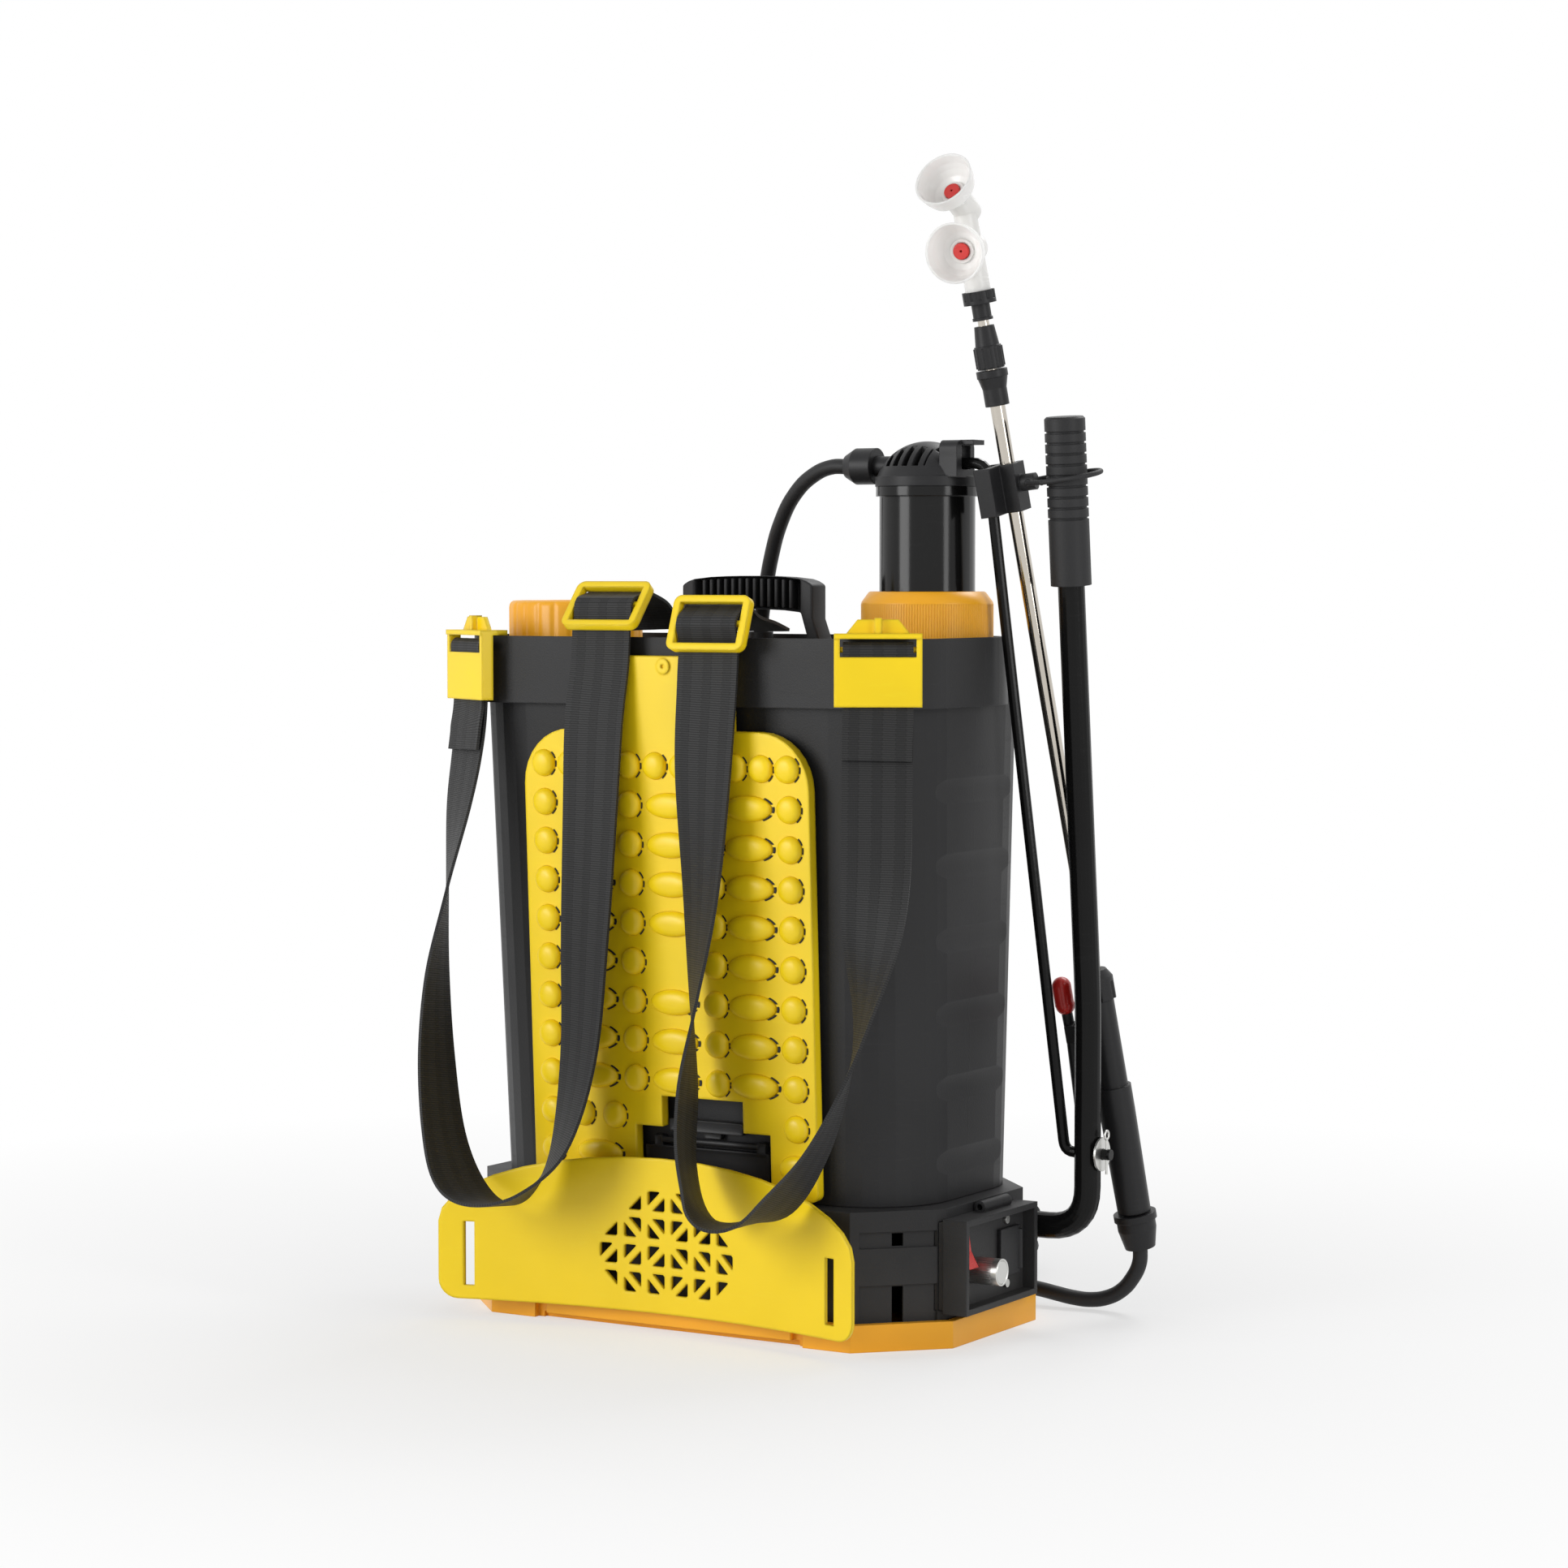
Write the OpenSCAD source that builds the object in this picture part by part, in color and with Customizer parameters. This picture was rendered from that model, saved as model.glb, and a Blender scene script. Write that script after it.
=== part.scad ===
// Knapsack sprayer with a hand lever pump and a battery pump.
// Millimetres, +Z up, origin on the ground under the middle of the tank.
// The wearer's back is towards -Y and the pump lever stands on the +X side.

/* [Tank] */
// Width of the tank at its shoulder
tank_w = 372; // [340:1:450]
// Depth of the tank at its shoulder
tank_d = 208; // [180:1:250]
// Height of the rim above the ground
rim_z = 490; // [430:1:590]
// Width the tank loses from shoulder to floor
tank_taper_w = 14; // [0:1:30]
// Depth the tank loses on its front side
tank_taper_d = 16; // [0:1:24]
// Corner radius of the tank in plan
tank_r = 60; // [40:1:72]
// Thickness of the tank wall
tank_wall = 4; // [2.5:0.5:6]
// Height of the raised band round the rim
rim_band_h = 48; // [30:1:60]
// How far the band stands proud of the shoulder at each side
rim_proud = 6; // [3:1:10]
// How far the top deck lies below the rim
deck_drop = 16; // [10:1:24]
// How far the rim stops short of the back of the tank
rim_set_in = 28; // [10:1:40]

/* [Base] */
// How far the base tray stands out past the tank shoulder
tray_out = 16; // [8:1:24]
// Corner cut of the base tray in plan
tray_cut = 52; // [35:1:60]
// Height of the base tray with its feet
tray_h = 19; // [14:1:26]
// Height of the relief under the long edges of the tray
relief_h = 4; // [2:0.5:6]
// Height of the pump and battery housing above the tray
housing_h = 77; // [70:1:100]
// Thickness of the housing wall
housing_wall = 4; // [2.5:0.5:6]

/* [Filler] */
// Outer radius of the filler lid
lid_r = 49; // [42:1:54]
// Height of the filler lid
lid_h = 34; // [26:1:42]
// Wall of the lid and of the pump collar
cap_wall = 4; // [3:0.5:6]
// Gap between threaded caps and their necks
thread_gap = 0.6; // [0.4:0.1:1]

/* [Pump] */
// Outer radius of the air chamber
chamber_r = 34; // [28:0.5:36]
// Wall of the air chamber
chamber_wall = 3; // [2:0.5:4]
// Height of the air chamber's flange above the rim
chamber_rise = 106; // [90:1:130]
// Length of the air chamber
chamber_len = 300; // [220:1:320]
// Outer radius of the pump collar
collar_r = 47; // [46:0.5:52]
// Height of the pump collar
collar_h = 42; // [34:1:50]
// Gap between the chamber and what it slides in
slide_gap = 0.4; // [0.3:0.05:0.6]
// Stroke of the pump
stroke = 24.4; // [15:0.1:30]

/* [Lever] */
// Distance of the lever from the tank's side
lever_out = 59; // [56:1:70]
// Outer radius of the lever tube
lever_r = 9.5; // [8:0.5:11]
// Radius of the bend at the foot of the lever
lever_bend = 30; // [24:1:40]
// Height of the lever's shaft above the ground
shaft_z = 70; // [60:1:76]
// Distance of the lever's shaft behind the middle of the tank
shaft_y = 58; // [50:1:60]
// Distance from the shaft to the connecting rod's pin
crank = 54; // [45:1:60]
// Length of the rubber grip
grip_len = 114; // [90:1:130]
// Outer radius of the rubber grip
grip_r = 14.3; // [12.5:0.1:16]
// Radius of the connecting rod
rod_r = 4; // [3:0.25:5]
// Gap of running fits
run_gap = 0.1; // [0.05:0.01:0.1]

/* [Lance] */
// Outer radius of the lance tube
lance_r = 5.3; // [4.5:0.1:6]
// Outer radius of the sliding inner tube
inner_r = 4; // [3:0.1:4.2]
// Length of the lance tube
lance_len = 438; // [400:1:460]
// Radius of the lance handle
handle_r = 13; // [11:0.5:14]
// Length of the lance handle
handle_len = 158; // [140:1:170]
// Radius of the spray hose
hose_r = 5.5; // [5:0.5:7]
// Radius of a nozzle cup at its mouth
cup_r = 21; // [16:0.5:23]

/* [Straps] */
// Width of the webbing
strap_w = 48; // [40:1:50]
// Thickness of the webbing
strap_t = 2.2; // [1.5:0.1:3]

/* [Controls] */
// How far the control box stands out of the housing
box_out = 19; // [14:1:24]
// Length of the control box
box_len = 106; // [100:1:112]
// Height of the control box
box_h = 66; // [60:1:70]
// Radius of the speed knob
knob_r = 9.5; // [8:0.5:10]

/* [Hidden] */
$fn = 64;
hull_fn = 32;
eps = 0.01;
seat = 0.3;

deck_z = rim_z - deck_drop;
deck_t = 5;
band_z = rim_z - rim_band_h;
rim_w = tank_w + 2 * rim_proud;
rim_front = -tank_d / 2 - rim_proud;
rim_back = tank_d / 2 - rim_set_in;
rim_d = rim_back - rim_front;
rim_mid = (rim_back + rim_front) / 2;
rim_r = tank_r - rim_proud;
rim_t = 5;
floor_z = tray_h + housing_h;
front_top = -tank_d / 2;
front_low = front_top + tank_taper_d;
back_low = tank_d / 2 - 4;

tray_w = tank_w + 2 * tray_out;
tray_d = tank_d + 2 * (tray_out - 6);
tray_floor = relief_h + 4;
housing_set = 6;
housing_w = tray_w - 2 * housing_set;
housing_d = tray_d - 2 * housing_set;
housing_cut = tray_cut - 3;
window_w = 108;
window_z = tray_h + 12;
window_h = housing_h - 24;
housing_x = housing_w / 2;
housing_y = housing_d / 2;

lid_margin = 8;
lid_x = -(rim_w / 2 - lid_r - lid_margin);
lid_y = rim_mid - 8;
lid_z = rim_z - 9;
neck_top = lid_z + lid_h - cap_wall - 6;
neck_wall = 5;
lid_neck_r = lid_r - cap_wall - thread_gap;
seal_t = 3;

pump_x = rim_w / 2 - collar_r - 7;
pump_y = rim_mid + 32;
collar_z = rim_z - 10;
barrel_wall = 2.5;
barrel_in = chamber_r + slide_gap;
barrel_out = barrel_in + barrel_wall;
pump_neck_in = barrel_out + seat;
pump_neck_r = collar_r - cap_wall - thread_gap;
pump_neck_top = collar_z + collar_h - cap_wall - 8;
barrel_flange_t = 4;
barrel_low = floor_z + 12;
chamber_top = rim_z + chamber_rise;
chamber_low = chamber_top - chamber_len;
cap_z = chamber_top + 7;
lug_z = rim_z + 122;
spigot_z = rim_z + 127;
spigot_r = 7;
nut_r = 13;
nut_len = 24;
nut_gap = 17;

lever_x = tank_w / 2 + lever_out;
pin_z = shaft_z + crank;
lever_knee = 230;
lever_top = rim_z + 150;
lever_lean = 40;
rod_low = [lever_x - 18, shaft_y, pin_z];
rod_top = [pump_x + 52, pump_y - 7, lug_z];
rod_pin_end = lever_x + lever_r + 9;
lug_in = rod_top[0] - 30;
slip_y = 4.4;
slip_z = 8;

lance_at = [pump_x + 66, pump_y + 2, rim_z + 105];
lance_turn = [10.3, -5.7, 0];
tube_low = 66 - lance_len;
handle_low = tube_low - handle_len;
hose_nut_len = 26;
hose_end_s = handle_low - hose_nut_len + 12;
hose_r_in = hose_r + seat;

pad_w = 236;
pad_low = floor_z + 4;
pad_high = band_z - 16;
pad_t = 8;
panel_half = 172;
panel_bow = 28;
panel_t = 3;
panel_low = 14;

strap_anchor_y = rim_front + 52;
handle_y = rim_mid + 22;

black = [0.07, 0.07, 0.075];
yellow = [0.96, 0.80, 0.05];
orange = [0.95, 0.60, 0.12];
steel = [0.75, 0.75, 0.74];

// Flat shapes

module round_rect(w, d, r) {
  square([w - 2 * r, d], center = true);
  square([w, d - 2 * r], center = true);
  for (x = [-1, 1], y = [-1, 1])
    translate([x * (w / 2 - r), y * (d / 2 - r)])
      circle(r);
}

module cut_rect(w, d, c) {
  polygon([
    [-w / 2 + c, -d / 2], [w / 2 - c, -d / 2], [w / 2, -d / 2 + c], [w / 2, d / 2 - c],
    [w / 2 - c, d / 2], [-w / 2 + c, d / 2], [-w / 2, d / 2 - c], [-w / 2, -d / 2 + c]
  ]);
}

// Solids between two points

function unit(v) = v / norm(v);

module between(a, b) {
  d = b - a;
  translate(a)
    rotate([0, acos(d[2] / norm(d)), atan2(d[1], d[0])])
      children();
}

module rod(a, b, r) {
  between(a, b)
    cylinder(r = r, h = norm(b - a));
}

module ring(r_out, r_in, h) {
  difference() {
    cylinder(r = r_out, h = h);
    translate([0, 0, -1])
      cylinder(r = r_in, h = h + 2);
  }
}

// Swept tubes and bands

function smooth(p, n) = [
  for (i = [0 : len(p) - 2], k = [0 : n - 1])
    let (
      a = p[max(i - 1, 0)],
      b = p[i],
      c = p[i + 1],
      d = p[min(i + 2, len(p) - 1)],
      t = k / n
    )
    0.5 * (2 * b + (c - a) * t + (2 * a - 5 * b + 4 * c - d) * t * t + (3 * b - a - 3 * c + d) * t * t * t),
  p[len(p) - 1]
];

function bend(a, b, c, r, n) =
  let (p = b + r * unit(a - b), q = b + r * unit(c - b))
  [for (i = [0 : n]) let (t = i / n) (1 - t) * (1 - t) * p + 2 * t * (1 - t) * b + t * t * q];

function tangent(p, i) = unit(p[min(i + 1, len(p) - 1)] - p[max(i - 1, 0)]);

function carried(n, t) = unit(n - (n * t) * t);

function frames(p, n, i = 0) =
  i >= len(p) ? [] :
  let (m = carried(n, tangent(p, i)))
  concat([m], frames(p, m, i + 1));

module swept(rings) {
  sides = len(rings[0]);
  last = len(rings) - 1;
  polyhedron(
    points = [for (r = rings) each r],
    faces = concat(
      [[for (k = [sides - 1 : -1 : 0]) k]],
      [
        for (i = [0 : last - 1], k = [0 : sides - 1])
          let (a = i * sides + k, b = i * sides + (k + 1) % sides)
          each [[b + sides, a + sides, a], [b, b + sides, a]]
      ],
      [[for (k = [0 : sides - 1]) last * sides + k]]
    )
  );
}

module tube_along(p, r, sides, start_n = [0, 0, 1]) {
  n = frames(p, start_n);
  swept([
    for (i = [0 : len(p) - 1])
      let (t = tangent(p, i), b = cross(t, n[i]))
      [for (k = [0 : sides - 1]) p[i] + r * (cos(-360 * k / sides) * n[i] + sin(-360 * k / sides) * b)]
  ]);
}

module band_along(p, wide, w, t) {
  swept([
    for (i = [0 : len(p) - 1])
      let (
        f = tangent(p, i),
        s = carried(wide[i], f),
        n = cross(f, s)
      )
      [p[i] - s * w / 2 - n * t / 2, p[i] - s * w / 2 + n * t / 2,
        p[i] + s * w / 2 + n * t / 2, p[i] + s * w / 2 - n * t / 2]
  ]);
}

// Base and housing

module base_tray() {
  notch = 10;
  relief_half = tray_w / 2 - 95;
  color(orange) difference() {
    linear_extrude(tray_h) cut_rect(tray_w, tray_d, tray_cut);
    translate([0, 0, tray_floor])
      linear_extrude(tray_h) cut_rect(tray_w - 12, tray_d - 12, tray_cut - 3.5);
    for (y = [-1, 1])
      translate([-relief_half, y * tray_d / 2 - 8, -1])
        cube([2 * relief_half, 16, relief_h + 1]);
    for (x = [-1, 1], y = [-1, 1])
      translate([x * relief_half - notch / 2, y * tray_d / 2 - 5, -1])
        cube([notch, 10, tray_h - 4]);
  }
}

module housing_slots() {
  half = 28;
  sunk = 25;
  for (x = [-1, 1])
    translate([x * (housing_x - housing_cut / 2), -housing_y + housing_cut / 2, tray_h])
      rotate([0, 0, x * 45]) {
        translate([-half, -20, 51]) cube([2 * half, sunk, 11]);
        translate([-4, -20, 52]) cube([8, 40, 9]);
        translate([-half, -20, -1]) cube([2 * half, sunk, 26]);
        translate([-4, -20, -1]) cube([8, 40, 25]);
      }
}

module lower_housing() {
  color(black) difference() {
    translate([0, 0, tray_floor + seat])
      linear_extrude(floor_z - tray_floor - 2 * seat) cut_rect(housing_w - 4, housing_d - 4, housing_cut);
    translate([0, 0, tray_floor - 1])
      linear_extrude(floor_z - tray_floor + 1 - housing_wall)
        cut_rect(housing_w - 4 - 2 * housing_wall, housing_d - 4 - 2 * housing_wall, housing_cut - 2);
    housing_slots();
    translate([-window_w / 2, -housing_y - 5, window_z])
      cube([window_w, 20, window_h]);
    translate([housing_x - 20, shaft_y, shaft_z])
      rotate([0, 90, 0]) cylinder(r = lever_r + 4, h = 40);
    translate([housing_x - 20, control_y - box_len / 2 + box_lip, control_z - box_h / 2 + box_lip])
      cube([40, box_len - 2 * box_lip, box_h - 2 * box_lip]);
    translate([outlet_x, housing_y - 20, outlet_z])
      rotate([-90, 0, 0]) cylinder(r = hose_r + 3, h = 40);
  }
}

module tank_slice(z, w, front, back, r) {
  translate([0, (front + back) / 2, z])
    linear_extrude(eps)
      for (x = [-1, 1], y = [-1, 1])
        translate([x * (w / 2 - r), y * ((back - front) / 2 - r)])
          circle(r, $fn = hull_fn);
}

module tank_body(inset) {
  low = floor_z + inset;
  high = band_z + 6;
  hull() {
    tank_slice(low, tank_w - tank_taper_w - 2 * inset, front_low + inset, back_low - inset, tank_r - inset);
    tank_slice(high, tank_w - 2 * inset, front_top + inset, tank_d / 2 - inset, tank_r - inset);
  }
  hull() {
    tank_slice(high - eps, tank_w - 2 * inset, front_top + inset, tank_d / 2 - inset, tank_r - inset);
    tank_slice(deck_z - inset, tank_w - 2 * inset, front_top + inset, rim_back - inset, rim_r - inset);
  }
}

// Shallow hollows across both sides, which stiffen the blown wall and fade out at its corners
module side_hollows() {
  deep = 1.6;
  r = 26;
  for (z = [123 : 52 : band_z - 30], x = [-1, 1]) {
    side = tank_w / 2 - tank_taper_w / 2 * (band_z + 6 - z) / (band_z + 6 - floor_z);
    translate([x * (side + r - deep), 0, z])
      rotate([90, 0, 0]) cylinder(r = r, h = tank_d + 20, center = true, $fn = 96);
  }
}

module tank_shell() {
  color(black) difference() {
    union() {
      tank_body(0);
      translate([0, rim_mid, band_z])
        linear_extrude(rim_z - band_z) round_rect(rim_w, rim_d, rim_r);
      translate([lid_x, lid_y, deck_z - 1]) cylinder(r = lid_neck_r, h = neck_top - deck_z + 1);
      translate([pump_x, pump_y, deck_z - 1]) cylinder(r = pump_neck_r, h = pump_neck_top - deck_z + 1);
    }
    tank_body(tank_wall);
    side_hollows();
    translate([0, rim_mid, deck_z])
      difference() {
        linear_extrude(rim_z) round_rect(rim_w - 2 * rim_t, rim_d - 2 * rim_t, rim_r - rim_t);
        translate([lid_x, lid_y - rim_mid, -1]) cylinder(r = lid_neck_r, h = neck_top - deck_z + 1);
        translate([pump_x, pump_y - rim_mid, -1])
          cylinder(r = pump_neck_r, h = pump_neck_top - deck_z + 1);
      }
    translate([lid_x, lid_y, deck_z - 20]) cylinder(r = lid_neck_r - neck_wall, h = 100);
    translate([pump_x, pump_y, deck_z - 20]) cylinder(r = pump_neck_in, h = 100);
  }
}

// Inside the housing

module battery_pack() {
  color([0.15, 0.16, 0.2])
    translate([-54, -housing_y + 24, tray_floor + seat])
      cube([108, 70, 66]);
}

module electric_pump() {
  at = [105, 20, tray_floor + seat];
  color([0.2, 0.2, 0.2]) translate(at) {
    translate([-35, -25, 0]) cube([62, 50, 6]);
    translate([-30, 0, 29]) rotate([0, 90, 0]) cylinder(r = 23, h = 42);
    translate([12, -22, 6]) cube([14, 44, 46]);
  }
}

// Back pad, lumbar panel and battery cover

module pad_outline() {
  r_top = 40;
  r_low = 6;
  tongue = 52;
  tongue_h = 52;
  notch_x = 25;
  notch_w = 111;
  notch_z = pad_low + 67;
  notch_step = 22;
  difference() {
    union() {
      hull() {
        for (x = [-1, 1]) {
          translate([x * (pad_w / 2 - r_top), pad_high - r_top]) circle(r_top, $fn = hull_fn);
          translate([x * (pad_w / 2 - r_low), pad_low + r_low]) circle(r_low, $fn = hull_fn);
        }
      }
      translate([4 - tongue, pad_high - 20]) square([2 * tongue, tongue_h + 20]);
    }
    translate([notch_x - notch_w / 2, 0]) square([notch_w, notch_z - notch_step]);
    translate([notch_x - notch_w / 2 + notch_step, 0]) square([notch_w - 2 * notch_step, notch_z]);
  }
}

pad_lean = atan(tank_taper_d / (band_z + 6 - floor_z));

module pad_frame() {
  translate([0, front_low - seat, floor_z])
    rotate([pad_lean, 0, 0])
      translate([0, 0, -floor_z]) children();
}

module back_pad() {
  color(yellow) pad_frame() {
    difference() {
      rotate([90, 0, 0])
        translate([0, 0, rim_proud + seat]) linear_extrude(pad_t) pad_outline();
      for (x = [-1, 1])
        translate([x * 36, 0, pad_high + 14]) rotate([90, 0, 0]) cylinder(r = 2.2, h = 60, center = true);
    }
    for (x = [-1, 1], z = [50, 150, 250])
      translate([x * 90, 0, pad_low + z]) rotate([90, 0, 0]) cylinder(r = 7, h = rim_proud + 1);
    translate([2, -rim_proud - seat - pad_t + 1, pad_high + 45])
      rotate([90, 0, 0]) ring(5.5, 1.4, 2.4);
  }
}

panel_r = (panel_half * panel_half + panel_bow * panel_bow) / (2 * panel_bow);
panel_y = -tray_d / 2 - 4;

module panel_outline() {
  tip_high = 70;
  top = 124;
  corner = 14;
  polygon(concat(
    [for (a = [180 : 15 : 270]) [-panel_half + corner, panel_low + corner] + corner * [cos(a), sin(a)]],
    [for (a = [270 : 15 : 360]) [panel_half - corner, panel_low + corner] + corner * [cos(a), sin(a)]],
    [for (a = [0 : 10 : 180]) [cos(a) * panel_half, tip_high + (top - tip_high) * sin(a)]]
  ));
}

// One half of a square vent: the diagonal rises or falls, and the half lies above or below it
module vent_half(col, row, rising, above) {
  cell = 19.5;
  bar = 5.4;
  cut = 3.5;
  a = (cell - bar) / 2;
  t = above ? 1 : -1;
  s = rising ? t : -t;
  b = a - cut;
  translate([6 + (col + 0.5) * cell, 64 + (row + 0.5) * cell])
    polygon([[(1.3 - a) * s, a * t], [(b - 1.2) * s, a * t], [(b - 0.7) * s, (a - 0.7) * t],
      [(0.7 - a) * s, (0.7 - b) * t], [-a * s, (1.2 - b) * t], [-a * s, (a - 1.3) * t]]);
}

module vent_grid() {
  for (row = [-2 : 1], col = [-3 : 2]) {
    edge = (row == -1) ? 4 : (row == 1) ? 2 : 3;
    even = row % 2 == 0;
    side = col < 0 ? -col : col + 1;
    rising = even ? col >= 0 : col < 0;
    if (side < edge)
      for (above = [true, false]) vent_half(col, row, rising, above);
    if (side == edge)
      vent_half(col, row, row == 0 ? !rising : rising, row < 0);
  }
}

module lumbar_panel() {
  slot_x = panel_half - 22;
  color(yellow) {
    intersection() {
      translate([0, panel_y - panel_r, 0])
        difference() {
          cylinder(r = panel_r, h = 200, $fn = 180);
          translate([0, 0, -1]) cylinder(r = panel_r - panel_t, h = 202, $fn = 180);
        }
      translate([0, 0, 0])
        rotate([90, 0, 0])
          linear_extrude(300)
            difference() {
              panel_outline();
              vent_grid();
              for (x = [-1, 1])
                translate([x * slot_x - 4, 24]) square([8, 46]);
            }
    }
    for (x = [-1, 1])
      translate([x * panel_post_x, panel_y - panel_post_back, panel_post_z])
        rotate([-90, 0, 0]) ring(6, 2.2, panel_post_len + panel_post_back);
  }
}

panel_post_x = 78;
panel_post_z = 62;
panel_post_len = -housing_y + 2 - panel_y - seat;
panel_post_back = panel_r - sqrt(panel_r * panel_r - panel_post_x * panel_post_x) + 1.5;

module battery_cover() {
  color(black) {
    translate([-window_w / 2 + seat, -housing_y + 3, window_z + seat])
      cube([window_w - 2 * seat, 5, window_h - 2 * seat]);
    translate([-window_w / 4, -housing_y - 3, window_z + window_h - 22])
      cube([window_w / 2, 6 + eps, 8]);
  }
}

// Carry handle and strap hardware

module carry_handle() {
  half = 58;
  foot = 66;
  depth = 26;
  top = rim_z + 42;
  color(black) translate([0, handle_y, 0]) difference() {
    rotate([90, 0, 0])
      linear_extrude(depth, center = true)
        polygon([[-foot - 8, deck_z], [-foot + 10, deck_z], [-half + 18, top - 22], [half - 18, top - 22],
          [foot - 10, deck_z], [foot + 8, deck_z], [half + 2, top - 10], [half - 8, top],
          [-half + 8, top], [-half - 2, top - 10]]);
    for (x = [-42 : 6 : 42])
      translate([x - 1.2, -depth, top - 23]) cube([2.4, depth - 5, 15]);
    for (x = [-1, 1])
      translate([x * (foot - 1), 0, deck_z - 1]) cylinder(r = 2.2, h = 14);
  }
}

module anchor_bar() {
  half = 82;
  bar_r = 3;
  bar_z = deck_z + 10;
  color(steel) {
    translate([-half, strap_anchor_y, bar_z]) rotate([0, 90, 0]) cylinder(r = bar_r, h = 2 * half);
    for (x = [-1, 0, 1])
      translate([x * (half - 4) - 4, strap_anchor_y - 5, deck_z]) cube([8, 10, 14]);
  }
}

clip_a = 30;
slot_out = -4.2;

module clip_place(side) {
  translate([side * (rim_w / 2 - rim_r), rim_front + rim_r, rim_z])
    rotate([0, 0, side * clip_a])
      translate([0, -rim_r - 4.5, 0]) children();
}

module strap_clip(side) {
  w = 60;
  plate_top = -12;
  color(yellow) clip_place(side) {
    difference() {
      translate([-w / 2, -9, -46]) cube([w, 9, 46 + plate_top]);
      translate([-strap_w / 2 - 2, -6.5, -47]) cube([strap_w + 4, 4.6, 60]);
    }
    for (x = [-1, 1])
      translate([x * (w / 2 - 2) - 2, -9, plate_top - eps]) cube([4, 9, 13]);
    translate([-w / 2, slot_out, -7]) rotate([0, 90, 0]) cylinder(r = 2, h = w);
    translate([-w / 2, -10, 0.4]) cube([w, 14, 3.6]);
    translate([-20, 3, seat]) cube([40, 13, 3.7]);
    translate([-16, 12.4, -8]) cube([32, 3.6, 9]);
    translate([0, 3, 3.5]) rotate([90, 0, 0])
      linear_extrude(3) polygon([[-22, 0], [22, 0], [14, 10], [-14, 10]]);
    translate([-2.5, -4, 3]) cube([5, 8, 11.5]);
    translate([-8, -eps, -40]) cube([16, 4.2, 28]);
  }
}

module strap_clips() {
  for (side = [-1, 1]) strap_clip(side);
}

// Webbing: points on the middle line, from the bar or from the clip, and the way its width lies
clip_x = rim_w / 2 - rim_r + (rim_r + 4) * sin(clip_a);

function at_bar(x, y, z) = [x, strap_anchor_y + y, rim_z + z];

function at_clip(side, x, y, z) = [side * (clip_x + x), rim_front + y, rim_z + z];

strap_left_path = [
  at_bar(-46, 0, 5), at_bar(-47, -14, 22), at_bar(-48, -34, 30), at_bar(-48, -54, 24),
  at_bar(-48, -64, 6), at_bar(-48, -66, -20), at_bar(-50, -71, -60), at_bar(-50, -76, -123),
  at_bar(-52, -80, -210), at_bar(-55, -84, -296), at_bar(-64, -96, -360),
  at_clip(-1, -83, -58, -392), at_clip(-1, -57, -65, -400), at_clip(-1, -31, -62, -388),
  at_clip(-1, -11, -54, -354), at_clip(-1, 1, -46, -300), at_clip(-1, 5, -39, -242),
  at_clip(-1, 3, -30, -185), at_clip(-1, 1, -18, -126), at_clip(-1, 1, -7, -85),
  at_clip(-1, 2.4, -0.6, -52), at_clip(-1, 2.4, -0.3, -10)
];
strap_left_wide = [
  [1, 0, 0], [1, 0, 0], [1, 0, 0], [1, 0, 0], [1, 0, 0], [1, 0, 0], [1, 0, 0], [1, -0.1, 0], [1, -0.25, 0],
  [1, -0.5, 0], [0.9, -0.8, 0.2], [0.5, -1, 0.2], [0.1, -1, 0.1], [-0.1, -1, 0], [0, -1, 0], [0.1, -1, 0],
  [0.3, -1, 0], [0.6, -0.9, 0], [0.8, -0.6, 0], [0.86, -0.5, 0], [0.866, -0.5, 0], [0.866, -0.5, 0]
];
strap_right_path = [
  at_bar(44, 0, 5), at_bar(44, -16, 22), at_bar(44, -42, 24), at_bar(44, -62, 12),
  at_bar(44, -70, -6), at_bar(44, -71, -35), at_bar(42, -73, -90), at_bar(42, -76, -176),
  at_bar(40, -82, -250), at_bar(40, -90, -310), at_bar(46, -102, -358), at_clip(1, -103, -62, -390),
  at_clip(1, -75, -68, -398), at_clip(1, -45, -62, -386), at_clip(1, -19, -50, -350),
  at_clip(1, -1, -38, -300), at_clip(1, 7, -28, -252), at_clip(1, 10, -18, -172),
  at_clip(1, 7, -10, -110), at_clip(1, 4, -4, -75), at_clip(1, 2.4, -0.6, -52), at_clip(1, 2.4, -0.3, -10)
];
strap_right_wide = [
  [1, 0, 0], [1, 0, 0], [1, 0, 0], [1, 0, 0], [1, 0, 0], [1, 0, 0], [1, -0.1, 0], [0.9, -0.5, 0],
  [0.6, -0.8, 0], [0.3, -1, 0], [0.3, -1, 0.2], [0.3, -1, 0.2], [0.1, -1, 0], [-0.2, -1, 0], [0.1, -1, 0],
  [0.4, -0.9, 0], [0.6, -0.6, 0], [0.866, 0.2, 0], [0.866, 0.45, 0], [0.866, 0.5, 0], [0.866, 0.5, 0],
  [0.866, 0.5, 0]
];

module strap_left() {
  color(black) band_along(strap_left_path, strap_left_wide, strap_w, strap_t);
}

module strap_right() {
  color(black) band_along(strap_right_path, strap_right_wide, strap_w, strap_t);
}

module buckle(at, tilt) {
  w = 62;
  h = 40;
  bar = 7;
  color(yellow) translate(at) rotate(tilt) difference() {
    rotate([90, 0, 0]) linear_extrude(6, center = true) round_rect(w, h, 6);
    for (z = [-1, 1])
      translate([0, 0, z * (h - bar) / 4])
        cube([w - 2 * bar + 3, 12, (h - 3 * bar) / 2 + 4], center = true);
  }
}

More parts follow.
